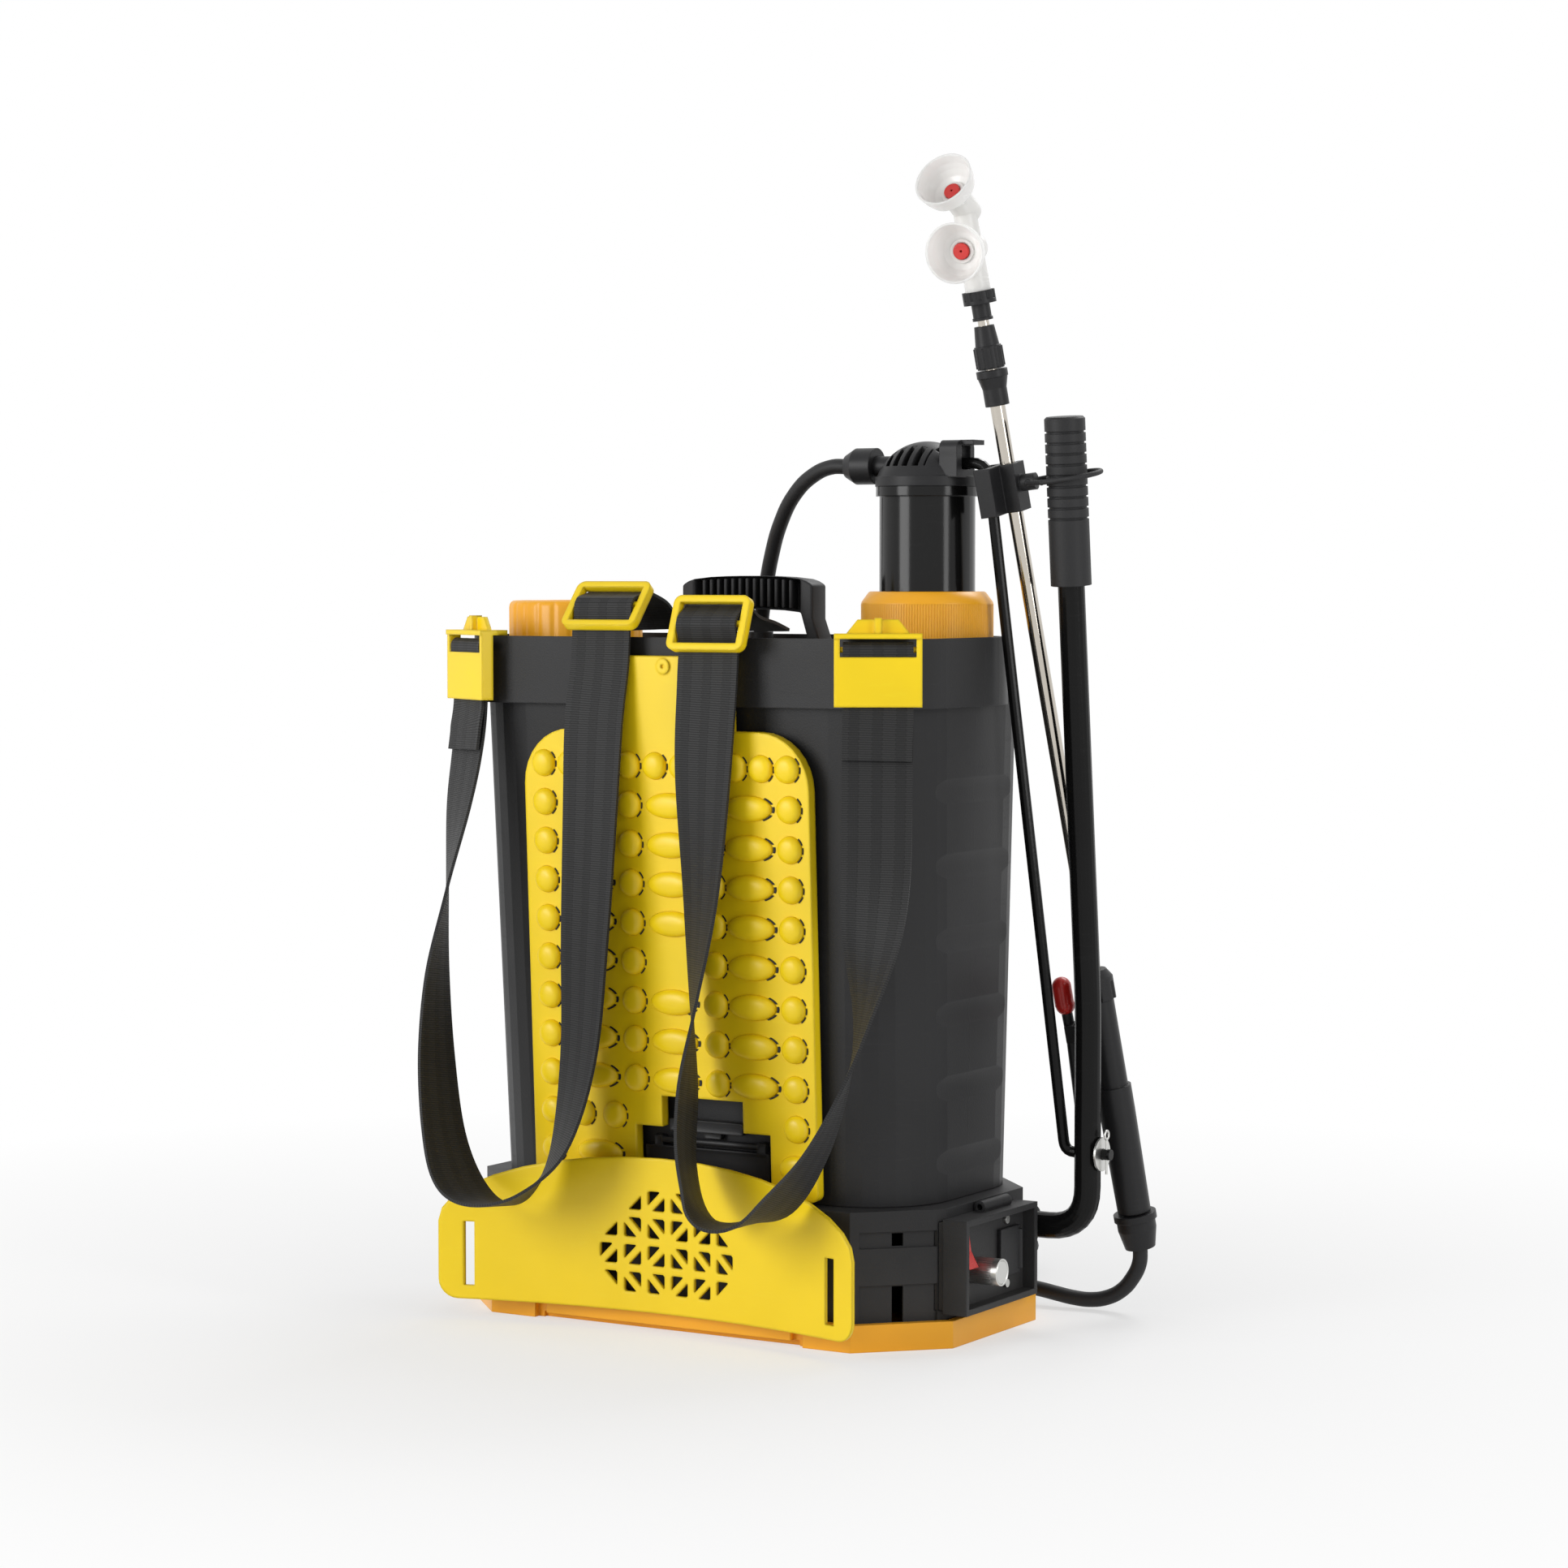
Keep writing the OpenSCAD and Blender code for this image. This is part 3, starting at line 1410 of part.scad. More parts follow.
hose_coil();
hose_feed();
hose_tie();
hose_outlet();
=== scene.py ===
# %% [markdown]
# # Backpack sprayer
# A knapsack sprayer stands on the ground with its back pad towards us. The hard pieces come from the
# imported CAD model. This lesson gives them their finishes, makes the soft pieces again (the hoses and the
# shoulder straps), and works finer detail into a few hard ones: the pad's nubs, the battery's door, the
# carry handle, the speed knob and the two screw caps. Everything ends up in metres, in the CAD model's
# own frame. Routes and places are typed in millimetres, and mm() turns a point into metres.

# %% Load the frame
import math

import bmesh
import bpy
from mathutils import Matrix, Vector


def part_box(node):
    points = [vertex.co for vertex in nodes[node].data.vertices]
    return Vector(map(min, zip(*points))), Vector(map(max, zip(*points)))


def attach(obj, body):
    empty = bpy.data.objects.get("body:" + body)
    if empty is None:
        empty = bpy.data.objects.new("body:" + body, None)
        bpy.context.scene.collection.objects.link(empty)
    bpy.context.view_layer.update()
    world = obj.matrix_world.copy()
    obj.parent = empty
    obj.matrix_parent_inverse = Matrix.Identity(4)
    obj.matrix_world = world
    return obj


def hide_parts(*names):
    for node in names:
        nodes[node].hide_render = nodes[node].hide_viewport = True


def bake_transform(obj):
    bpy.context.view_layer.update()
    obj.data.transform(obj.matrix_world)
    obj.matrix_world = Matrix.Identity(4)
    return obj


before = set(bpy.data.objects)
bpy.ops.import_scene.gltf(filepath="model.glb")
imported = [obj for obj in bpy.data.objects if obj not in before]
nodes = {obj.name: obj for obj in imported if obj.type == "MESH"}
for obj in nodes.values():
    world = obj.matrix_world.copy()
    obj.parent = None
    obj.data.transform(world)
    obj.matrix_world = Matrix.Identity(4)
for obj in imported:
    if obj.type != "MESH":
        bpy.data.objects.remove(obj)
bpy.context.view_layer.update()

# %% [markdown]
# ## Camera
# The photograph looks at the front right corner from a little above the rim, from almost three metres
# away with a long lens. The same place and lens keep every proportion comparable.

# %% Camera
camera_place = (1.5043, -2.456, 0.535)
camera_turn, camera_dip = 31, 3.037  # degrees round from the front, and down

view = bpy.data.cameras.new("photo_camera")
view.lens = 91.3
view.sensor_width = 36
view.clip_end = 50
camera = bpy.data.objects.new("photo_camera", view)
camera.location = camera_place
camera.rotation_euler = (math.radians(90 - camera_dip), 0, math.radians(camera_turn))
bpy.context.scene.collection.objects.link(camera)
bpy.context.scene.camera = camera
print("camera", tuple(camera.location))

# %% [markdown]
# ## Helpers for working by hand
# An operator acts on whatever is selected, so each step starts from an empty selection and picks its
# own object. These few helpers do that, add and apply the usual modifiers, and keep each finished piece
# at the origin.

# %% Selection helpers
def select_none():
    bpy.ops.object.select_all(action="DESELECT")


def only(*objects):
    select_none()
    for obj in objects:
        obj.select_set(True)
    bpy.context.view_layer.objects.active = objects[0]


def settle(obj, name):
    only(obj)
    bpy.ops.object.transform_apply(location=True, rotation=True, scale=True)
    obj.name = name
    obj.data.name = name
    return obj


def pick_faces(obj, wanted):
    bpy.ops.mesh.select_mode(type="FACE")
    bpy.ops.mesh.select_all(action="DESELECT")
    shape = bmesh.from_edit_mesh(obj.data)
    for face in shape.faces:
        face.select = wanted(face.calc_center_median(), face.normal)
    bmesh.update_edit_mesh(obj.data)


def pick_edges(obj, wanted):
    bpy.ops.mesh.select_mode(type="EDGE")
    bpy.ops.mesh.select_all(action="DESELECT")
    shape = bmesh.from_edit_mesh(obj.data)
    for edge in shape.edges:
        edge.select = wanted(edge)
    bmesh.update_edit_mesh(obj.data)


def joined(objects, name):
    only(*objects)
    bpy.ops.object.join()
    return settle(objects[0], name)


def mm(point):
    return Vector(point) / 1000


# %% Modifier helpers
def apply_all(obj):
    only(obj)
    for modifier in list(obj.modifiers):
        bpy.ops.object.modifier_apply(modifier=modifier.name)


def thicken(obj, thickness, offset=-1):
    wall = obj.modifiers.new("wall", "SOLIDIFY")
    wall.thickness = thickness
    wall.offset = offset


def soften(obj, width, segments=2):
    edge = obj.modifiers.new("soft_edge", "BEVEL")
    edge.width = width
    edge.segments = segments


def smooth(degrees):
    bpy.ops.object.shade_smooth_by_angle(angle=math.radians(degrees))


# %% [markdown]
# ## Spray hose
# The hose leaves a fitting in the back of the base, goes down to a flat coil behind the tank, and runs
# along the ground to the spray handle. A bevelled curve is the natural tool, because its control
# points are the route itself. The points are the CAD route's own.

# %% The hose's route
# The coil winds in for one turn on the ground, climbs to a second layer in the next half turn, and winds
# out again on top.
hose_r = 5.5
coil_at = (40, 206)
coil_low = hose_r + 1.5
coil_layer = 12.8
coil_wide, coil_pitch = 72, 13.4
coil_tight = coil_wide - coil_pitch
turn_steps, coil_knots = 24, 67


def coil_point(turn):
    angle = math.radians(-90 - 360 * turn)
    if turn < 1:
        radius, height = coil_wide - coil_pitch * turn, 0
    elif turn < 1.5:
        part = 2 * math.pi * (turn - 1)
        radius, height = coil_tight - 2 * math.sin(part), (1 - math.cos(part)) / 2
    else:
        radius, height = coil_tight + coil_pitch * (turn - 1.5), 1
    return (
        coil_at[0] + radius * math.cos(angle),
        coil_at[1] + radius * math.sin(angle),
        coil_low + coil_layer * height,
    )


coil = [coil_point(i / turn_steps) for i in range(coil_knots)]
feed = [
    (115.3, 193.4, 20.5), (115.1, 181.3, 24.3), (115, 169.9, 29.8), (115, 158.9, 35.9),
    (115, 147.4, 41.3), (115, 135.2, 44.8), (115, 123, 46), (115, 116, 46),
]
ground_run = [
    (258.42, 116.59, 49.7), (256.8, 118.4, 37.2), (250.9, 119.2, 25.8), (242.3, 119.3, 16.2),
    (231.1, 118.5, 10), (218.6, 116.9, 7.5), (205.8, 115.3, 8), (193, 114.5, 9.8),
    (180.2, 115.1, 11.5), (167.4, 117.1, 12.2), (154.8, 120.2, 11.8), (142.4, 123.4, 10.6),
    (129.9, 126.4, 9.3), (117.3, 129, 8.2), (104.5, 131, 7.5), (91.7, 132.4, 7.2), (78.8, 133.3, 7),
    (65.9, 133.8, 7), (52.9, 134, 7),
]
print("route points", len(feed), len(coil), len(ground_run))


# %% A hose from its points
def hose(name, points, radius):
    data = bpy.data.curves.new(name, "CURVE")
    data.dimensions = "3D"
    data.resolution_u = 6
    data.use_fill_caps = True
    line = data.splines.new("BEZIER")
    line.bezier_points.add(len(points) - 1)
    for knot, point in zip(line.bezier_points, points):
        knot.co = mm(point)
        knot.handle_left_type = knot.handle_right_type = "AUTO"
    obj = bpy.data.objects.new(name, data)
    bpy.context.scene.collection.objects.link(obj)
    bpy.context.view_layer.update()
    bare = obj.to_mesh()
    middle = [vert.co.copy() for vert in bare.vertices]
    obj.to_mesh_clear()
    data.bevel_depth = radius / 1000
    data.bevel_resolution = 6
    only(obj)
    bpy.ops.object.convert(target="MESH")
    tube = bpy.context.object
    smooth(60)
    length = sum((b - a).length for a, b in zip(middle, middle[1:]))
    print(name, "length", round(length, 3), "points", len(middle))
    return tube, middle, length


whole_run = ground_run + coil + feed
spray_hose, spray_line, spray_len = hose("rubber_spray_hose", whole_run[::-1], hose_r)

# %% [markdown]
# ## Pump hose
# A second hose carries the pressure from the air chamber over the deck. It is stiff, so it stands out
# of its nut in one wide bend and dives straight into the deck fitting.

# %% Pump hose
pump_line = [
    (73, 15, 611), (60, 15, 611), (42, 18, 605), (24, 23, 592), (8, 30, 572), (-5, 38, 547),
    (-14, 44, 520), (-19, 47, 500), (-20, 48, 492),
]
pump_hose, pump_middle, pump_len = hose("rubber_pump_hose", pump_line, hose_r)

# %% [markdown]
# ## Finishes: shared effects
# Moulded plastic is never one flat colour. It has a fine grain from the mould, a slow drift of tone,
# and rubbed edges. Each effect is a node group that is built once, so that every finish can use it
# with its own values.

# %% Building node groups
def new_group(name, inputs, outputs):
    tree = bpy.data.node_groups.new(name, "ShaderNodeTree")
    for label, kind, value in inputs:
        socket = tree.interface.new_socket(label, in_out="INPUT", socket_type=kind)
        socket.default_value = value
    for label, kind in outputs:
        tree.interface.new_socket(label, in_out="OUTPUT", socket_type=kind)
    return tree, tree.nodes.new("NodeGroupInput"), tree.nodes.new("NodeGroupOutput")


def put(tree, kind, **sockets):
    node = tree.nodes.new(kind)
    for key, value in sockets.items():
        if hasattr(node, key):
            setattr(node, key, value)
        else:
            node.inputs[key.replace("_", " ")].default_value = value
    return node


def wire(tree, start, end):
    tree.links.new(start, end)


def supply(tree, socket, value):
    if isinstance(value, (int, float, tuple)):
        socket.default_value = value
    else:
        wire(tree, value, socket)


def maths(tree, operation, first, second=0.5):
    node = put(tree, "ShaderNodeMath", operation=operation)
    for socket, value in zip(node.inputs, (first, second)):
        supply(tree, socket, value)
    return node.outputs[0]


def mixed(tree, amount, first, second):
    node = put(tree, "ShaderNodeMix", data_type="RGBA")
    for index, value in ((0, amount), (6, first), (7, second)):
        supply(tree, node.inputs[index], value)
    return node.outputs[2]


def spread(tree, value, low, high, to_low=0.0, to_high=1.0):
    node = put(tree, "ShaderNodeMapRange")
    for socket, number in zip(node.inputs, (value, low, high, to_low, to_high)):
        supply(tree, socket, number)
    return node.outputs[0]


# %% Moulded grain
def make_grain():
    tree, given, out = new_group(
        "moulded_grain",
        [("Colour", "NodeSocketColor", (0.5, 0.5, 0.5, 1)), ("Drift", "NodeSocketFloat", 0.15),
         ("Grain Size", "NodeSocketFloat", 900.0), ("Gloss Low", "NodeSocketFloat", 0.4),
         ("Gloss High", "NodeSocketFloat", 0.55)],
        [("Colour", "NodeSocketColor"), ("Roughness", "NodeSocketFloat"), ("Height", "NodeSocketFloat")],
    )
    place = put(tree, "ShaderNodeTexCoord").outputs["Object"]
    slow = put(tree, "ShaderNodeTexNoise", Scale=9.0, Detail=3.0)
    fine = put(tree, "ShaderNodeTexNoise", Detail=2.0)
    wire(tree, place, slow.inputs["Vector"])
    wire(tree, place, fine.inputs["Vector"])
    wire(tree, given.outputs["Grain Size"], fine.inputs["Scale"])
    tone = spread(tree, slow.outputs["Fac"], 0.3, 0.7, -1.0, 1.0)
    shade = maths(tree, "ADD", 1.0, maths(tree, "MULTIPLY", tone, given.outputs["Drift"]))
    value = put(tree, "ShaderNodeHueSaturation")
    wire(tree, given.outputs["Colour"], value.inputs["Color"])
    wire(tree, shade, value.inputs["Value"])
    wire(tree, value.outputs["Color"], out.inputs["Colour"])
    low, high = given.outputs["Gloss Low"], given.outputs["Gloss High"]
    wire(tree, spread(tree, slow.outputs["Fac"], 0.3, 0.7, low, high), out.inputs["Roughness"])
    wire(tree, fine.outputs["Fac"], out.inputs["Height"])
    return tree


# %% Rubbed edges
def make_edge_wear():
    tree, given, out = new_group(
        "rubbed_edges",
        [("Width", "NodeSocketFloat", 0.0012), ("Amount", "NodeSocketFloat", 0.5)],
        [("Mask", "NodeSocketFloat"), ("Normal", "NodeSocketVector")],
    )
    soft = put(tree, "ShaderNodeBevel", samples=4)
    wire(tree, given.outputs["Width"], soft.inputs["Radius"])
    flat = put(tree, "ShaderNodeNewGeometry")
    dot = put(tree, "ShaderNodeVectorMath", operation="DOT_PRODUCT")
    wire(tree, soft.outputs["Normal"], dot.inputs[0])
    wire(tree, flat.outputs["Normal"], dot.inputs[1])
    edge = spread(tree, dot.outputs["Value"], 0.995, 0.86)
    place = put(tree, "ShaderNodeTexCoord").outputs["Object"]
    chips = put(tree, "ShaderNodeTexNoise", Scale=120.0, Detail=4.0)
    wire(tree, place, chips.inputs["Vector"])
    broken = spread(tree, chips.outputs["Fac"], 0.42, 0.62)
    mask = maths(tree, "MULTIPLY", maths(tree, "MULTIPLY", edge, broken), given.outputs["Amount"])
    wire(tree, mask, out.inputs["Mask"])
    wire(tree, soft.outputs["Normal"], out.inputs["Normal"])
    return tree


# %% Scuffs and dust
def make_scuffs():
    tree, given, out = new_group(
        "scuffs_and_dust",
        [("Amount", "NodeSocketFloat", 0.3), ("Dust Height", "NodeSocketFloat", 0.1)],
        [("Scuff", "NodeSocketFloat"), ("Dust", "NodeSocketFloat")],
    )
    place = put(tree, "ShaderNodeTexCoord").outputs["Object"]
    stretch = put(tree, "ShaderNodeMapping")
    stretch.inputs["Scale"].default_value = (40, 40, 300)
    stretch.inputs["Rotation"].default_value = (0.5, 0.3, 0.2)
    wire(tree, place, stretch.inputs["Vector"])
    lines = put(tree, "ShaderNodeTexNoise", Scale=1.0, Detail=5.0)
    wire(tree, stretch.outputs["Vector"], lines.inputs["Vector"])
    marks = spread(tree, lines.outputs["Fac"], 0.6, 0.78)
    wire(tree, maths(tree, "MULTIPLY", marks, given.outputs["Amount"]), out.inputs["Scuff"])
    split = put(tree, "ShaderNodeSeparateXYZ")
    wire(tree, place, split.inputs[0])
    height = maths(tree, "DIVIDE", split.outputs["Z"], given.outputs["Dust Height"])
    low = maths(tree, "SUBTRACT", 1.0, height)
    cloud = put(tree, "ShaderNodeTexNoise", Scale=35.0, Detail=4.0)
    wire(tree, place, cloud.inputs["Vector"])
    dust = maths(tree, "MULTIPLY", maths(tree, "MAXIMUM", low, 0.0), cloud.outputs["Fac"])
    wire(tree, maths(tree, "MULTIPLY", dust, given.outputs["Amount"]), out.inputs["Dust"])
    return tree


grain_group = make_grain()
edge_group = make_edge_wear()
scuff_group = make_scuffs()
print("groups", [g.name for g in bpy.data.node_groups])


# %% [markdown]
# ## Finishes: moulded plastics
# One recipe serves all the mouldings: the grain gives colour, roughness and bump, the rubbed edges
# lighten the corners, and a little dust gathers near the ground. Each finish only changes the numbers.

# %% A moulded plastic
def new_material(name):
    material = bpy.data.materials.new(name)
    material.use_nodes = True
    tree = material.node_tree
    return material, tree, tree.nodes["Principled BSDF"]


def use_group(tree, group, **values):
    return put(tree, "ShaderNodeGroup", node_tree=group, **values)


dust_colour = (0.4, 0.37, 0.32, 1)


def plastic(name, colour, gloss, drift=0.12, grain=900.0, bump=0.05, wear=0.35, edge=0.0012, dust=0.0,
            shine=0.5, milky=0.0, depth=0.001, relief=None):
    material, tree, shader = new_material(name)
    grained = use_group(tree, grain_group, Colour=(*colour, 1), Drift=drift, Grain_Size=grain,
                        Gloss_Low=gloss[0], Gloss_High=gloss[1])
    edges = use_group(tree, edge_group, Width=edge, Amount=wear)
    scuffs = use_group(tree, scuff_group, Amount=0.25)
    pale = (*[min(1, c * 1.25 + 0.03) for c in colour], 1)
    scuff = scuffs.outputs["Scuff"]
    base = mixed(tree, edges.outputs["Mask"], grained.outputs["Colour"], pale)
    base = mixed(tree, maths(tree, "MULTIPLY", scuff, 0.5), base, pale)
    if dust:
        base = mixed(tree, maths(tree, "MULTIPLY", scuffs.outputs["Dust"], dust), base, dust_colour)
    wire(tree, base, shader.inputs["Base Color"])
    rough = maths(tree, "ADD", grained.outputs["Roughness"], maths(tree, "MULTIPLY", scuff, 0.3))
    wire(tree, rough, shader.inputs["Roughness"])
    height = grained.outputs["Height"]
    if relief:
        height = relief(tree, height)
    bumped = put(tree, "ShaderNodeBump", Strength=bump, Distance=depth)
    wire(tree, height, bumped.inputs["Height"])
    wire(tree, edges.outputs["Normal"], bumped.inputs["Normal"])
    wire(tree, bumped.outputs["Normal"], shader.inputs["Normal"])
    shader.inputs["Specular IOR Level"].default_value = shine
    shader.inputs["Subsurface Weight"].default_value = milky
    shader.inputs["Subsurface Scale"].default_value = 0.006
    shader.inputs["Subsurface Radius"].default_value = (1, 1, 1)
    return material


def mould_seam(tree, grain):
    place = put(tree, "ShaderNodeSeparateXYZ")
    wire(tree, put(tree, "ShaderNodeTexCoord").outputs["Object"], place.inputs[0])
    side = spread(tree, maths(tree, "ABSOLUTE", place.outputs["X"]), 0.150, 0.170)
    seam = maths(tree, "LESS_THAN", maths(tree, "ABSOLUTE", place.outputs["Y"]), 0.0006)
    line = maths(tree, "MULTIPLY", maths(tree, "MULTIPLY", seam, side), 0.3)
    return maths(tree, "ADD", maths(tree, "MULTIPLY", grain, 0.05), line)


# %% The plastics
tank_black = plastic("tank_black", (0.021, 0.021, 0.022), (0.42, 0.56), drift=0.2, bump=0.12, dust=0.3,
                     shine=0.22)
tank_blown = plastic("tank_blown", (0.021, 0.021, 0.022), (0.40, 0.54), drift=0.2, bump=1.0, dust=0.2,
                     shine=0.22, depth=0.0018, relief=mould_seam)
satin_black = plastic("satin_black", (0.016, 0.016, 0.017), (0.34, 0.46), bump=0.06, shine=0.25)
gloss_black = plastic("gloss_black", (0.005, 0.005, 0.005), (0.10, 0.17), bump=0.02, wear=0.2,
                      shine=0.25)
pad_yellow = plastic("pad_yellow", (0.94, 0.67, 0.006), (0.28, 0.38), drift=0.05, bump=0.03, wear=0.2,
                     dust=0.1, edge=0.003, shine=0.4)
cap_orange = plastic("cap_orange", (0.96, 0.44, 0.014), (0.30, 0.42), drift=0.05, bump=0.04, wear=0.2,
                     dust=0.1, shine=0.4)
clear_white = plastic("clear_white", (0.86, 0.85, 0.825), (0.22, 0.32), drift=0.04, bump=0.02, wear=0.1,
                      milky=0.7)
tip_red = plastic("tip_red", (0.62, 0.02, 0.015), (0.20, 0.30), drift=0.08, bump=0.02, wear=0.2)
rubber_black = plastic("rubber_black", (0.018, 0.018, 0.019), (0.46, 0.6), drift=0.2, bump=0.1,
                       wear=0.15, shine=0.3)
cell_blue = plastic("cell_blue", (0.05, 0.12, 0.3), (0.3, 0.4))
print("plastics made")

# %% [markdown]
# ## Finishes: steel
# The lance is chromed tube, the fasteners are zinc, and the lever and rod are steel with a thick gloss
# paint. Metal needs its Metallic set to one, and fine scratches that run along it in its roughness.

# %% Metals
def metal(name, colour, gloss, drift=0.06):
    material, tree, shader = new_material(name)
    grained = use_group(tree, grain_group, Colour=(*colour, 1), Drift=drift, Grain_Size=400.0,
                        Gloss_Low=gloss[0], Gloss_High=gloss[1])
    scuffs = use_group(tree, scuff_group, Amount=0.4)
    edges = use_group(tree, edge_group, Width=0.0004, Amount=0.2)
    wire(tree, grained.outputs["Colour"], shader.inputs["Base Color"])
    scratches = maths(tree, "MULTIPLY", scuffs.outputs["Scuff"], 0.25)
    wire(tree, maths(tree, "ADD", grained.outputs["Roughness"], scratches), shader.inputs["Roughness"])
    wire(tree, edges.outputs["Normal"], shader.inputs["Normal"])
    shader.inputs["Metallic"].default_value = 1.0
    return material


chrome = metal("chrome_tube", (0.56, 0.52, 0.46), (0.10, 0.18))
zinc = metal("zinc_plate", (0.62, 0.62, 0.60), (0.24, 0.36))
paint_black = plastic("painted_steel", (0.006, 0.006, 0.006), (0.12, 0.20), bump=0.05, grain=250.0,
                      wear=0.3, shine=0.15)
print("metals made")

# %% [markdown]
# ## Finish: webbing
# Strap webbing is woven polyester. Fine ribs run across it, three darker bands run along it, and a
# dotted line of stitches marks each band's edge. The valleys between the ribs carry painted shade. The
# pattern follows the strap, so it reads the strap's own UV map, laid out in metres: U goes across and V
# goes along.

# %% Woven webbing
def make_weave():
    tree, given, out = new_group(
        "webbing_weave",
        [("Colour", "NodeSocketColor", (0.0125, 0.0125, 0.013, 1)), ("Rib", "NodeSocketFloat", 0.0016)],
        [("Colour", "NodeSocketColor"), ("Roughness", "NodeSocketFloat"), ("Height", "NodeSocketFloat")],
    )
    split = put(tree, "ShaderNodeSeparateXYZ")
    wire(tree, put(tree, "ShaderNodeUVMap", uv_map="strap").outputs["UV"], split.inputs[0])
    across, along = split.outputs["X"], split.outputs["Y"]
    turn = maths(tree, "DIVIDE", along, given.outputs["Rib"])
    rib = maths(tree, "ABSOLUTE", maths(tree, "SUBTRACT", maths(tree, "FRACT", turn), 0.5))
    thread = maths(tree, "SINE", maths(tree, "MULTIPLY", across, 2 * math.pi / 0.0008))
    band = maths(tree, "COSINE", maths(tree, "MULTIPLY", across, 2 * math.pi / 0.016))
    dark = spread(tree, band, 0.1, 0.35)
    near = maths(tree, "LESS_THAN", maths(tree, "ABSOLUTE", maths(tree, "SUBTRACT", band, 0.2)), 0.16)
    dash = maths(tree, "GREATER_THAN", maths(tree, "FRACT", maths(tree, "DIVIDE", along, 0.0034)), 0.62)
    stitch = maths(tree, "MULTIPLY", near, dash)
    colour = mixed(tree, dark, (0.021, 0.021, 0.0215, 1), given.outputs["Colour"])
    # Painted shade: the valleys between the ribs are darkened towards black in the colour.
    rib_valley_shade = maths(tree, "MULTIPLY", spread(tree, rib, 0.16, 0.42), 0.8)
    colour = mixed(tree, rib_valley_shade, colour, (0.005, 0.005, 0.005, 1))
    colour = mixed(tree, stitch, colour, (0.006, 0.006, 0.006, 1))
    wire(tree, colour, out.inputs["Colour"])
    wire(tree, spread(tree, rib, 0.0, 0.5, 0.5, 0.7), out.inputs["Roughness"])
    height = maths(tree, "SUBTRACT", maths(tree, "MULTIPLY", thread, 0.12), rib)
    height = maths(tree, "SUBTRACT", height, maths(tree, "MULTIPLY", stitch, 1.2))
    wire(tree, maths(tree, "ADD", height, maths(tree, "MULTIPLY", dark, 0.3)), out.inputs["Height"])
    return tree


weave_group = make_weave()
webbing_black, tree, shader = new_material("webbing_black")
weave = use_group(tree, weave_group)
wire(tree, weave.outputs["Colour"], shader.inputs["Base Color"])
wire(tree, weave.outputs["Roughness"], shader.inputs["Roughness"])
bumped = put(tree, "ShaderNodeBump", Strength=0.5, Distance=0.0005)
wire(tree, weave.outputs["Height"], bumped.inputs["Height"])
wire(tree, bumped.outputs["Normal"], shader.inputs["Normal"])
shader.inputs["Sheen Weight"].default_value = 0.04
shader.inputs["Specular IOR Level"].default_value = 0.3
print("webbing made")

# %% [markdown]
# ## Finishes on the CAD pieces
# Most mouldings are right as they come, so each only gets its finish. A table of finish to pieces keeps
# that easy to read and to change.

# %% Assign the finishes
finish_of = {
    tank_blown: ["tank_shell"],
    tank_black: ["lower_housing", "control_box", "battery_cover", "deck_fitting", "hose_outlet",
                 "carry_handle"],
    satin_black: ["lance_handle", "handle_nut", "hose_nut", "lock_nut", "nozzle_socket", "nozzle_stem",
                  "nozzle_nut", "trigger", "lance_clip", "charge_socket", "socket_flap", "chamber_cap",
                  "chamber_hose_nut", "lever_bushes", "electric_pump"],
    gloss_black: ["air_chamber"],
    pad_yellow: ["back_pad", "lumbar_panel", "strap_clips", "strap_buckles"],
    cap_orange: ["base_tray", "filler_lid", "pump_collar"],
    clear_white: ["nozzle_body", "strainer_basket", "inlet_valve", "pump_barrel"],
    tip_red: ["trigger_tip", "nozzle_tips", "switch_rocker"],
    rubber_black: ["lid_seal", "piston_seal", "grip_bail", "lever_grip"],
    paint_black: ["lever_tube", "link_rod"],
    chrome: ["lance_tube", "inner_tube"],
    zinc: ["link_washer", "link_cotter", "case_screws", "anchor_bar", "trigger_pin", "speed_knob"],
    cell_blue: ["battery_pack"],
}


def dress(obj, material):
    if not obj.material_slots:
        obj.data.materials.append(material)
    for slot in obj.material_slots:
        slot.material = material


for material, names in finish_of.items():
    for name in names:
        dress(nodes[name], material)
print("dressed", sum(len(names) for names in finish_of.values()))

# %% [markdown]
# ## Hoses on the object
# The hoses get their rubber finish, and the CAD hoses are hidden. The tie round the coil is a soft
# strap, so it is made here as a rounded band.

# %% Coil tie
tie_at, tie_size = (0.04, 0.2715, 0.0136), (0.010, 0.0268, 0.0262)


def make_tie():
    select_none()
    bpy.ops.mesh.primitive_cube_add(size=1, location=tie_at)
    tie = bpy.context.object
    tie.scale = tie_size
    settle(tie, "coil_tie")
    bpy.ops.object.mode_set(mode="EDIT")
    pick_faces(tie, lambda at, normal: abs(normal.x) > 0.9)
    bpy.ops.mesh.delete(type="ONLY_FACE")
    pick_edges(tie, lambda edge: abs(edge.verts[0].co.x - edge.verts[1].co.x) > 0.005)
    bpy.ops.mesh.bevel(offset=0.006, segments=5, affect="EDGES")
    bpy.ops.object.mode_set(mode="OBJECT")
    thicken(tie, 0.001)
    soften(tie, 0.0003)
    apply_all(tie)
    smooth(40)
    return tie


coil_tie = make_tie()
coil_tie.data.materials.append(rubber_black)
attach(coil_tie, "tank")
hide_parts("hose_tie")

spray_hose.data.materials.append(rubber_black)
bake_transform(spray_hose)
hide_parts("spray_hose", "hose_coil", "hose_feed")
pump_hose.data.materials.append(rubber_black)
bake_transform(pump_hose)
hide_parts("chamber_hose")

# %% [markdown]
# ## Shoulder straps
# Each strap is one length of flat webbing. It starts at the bar behind the rim, passes through its
# buckle, hangs down the pad, turns over at the bottom and goes up to its clip on the rim's corner. A
# strip laid along that route keeps its width true, and its UV map gives the weave its direction.

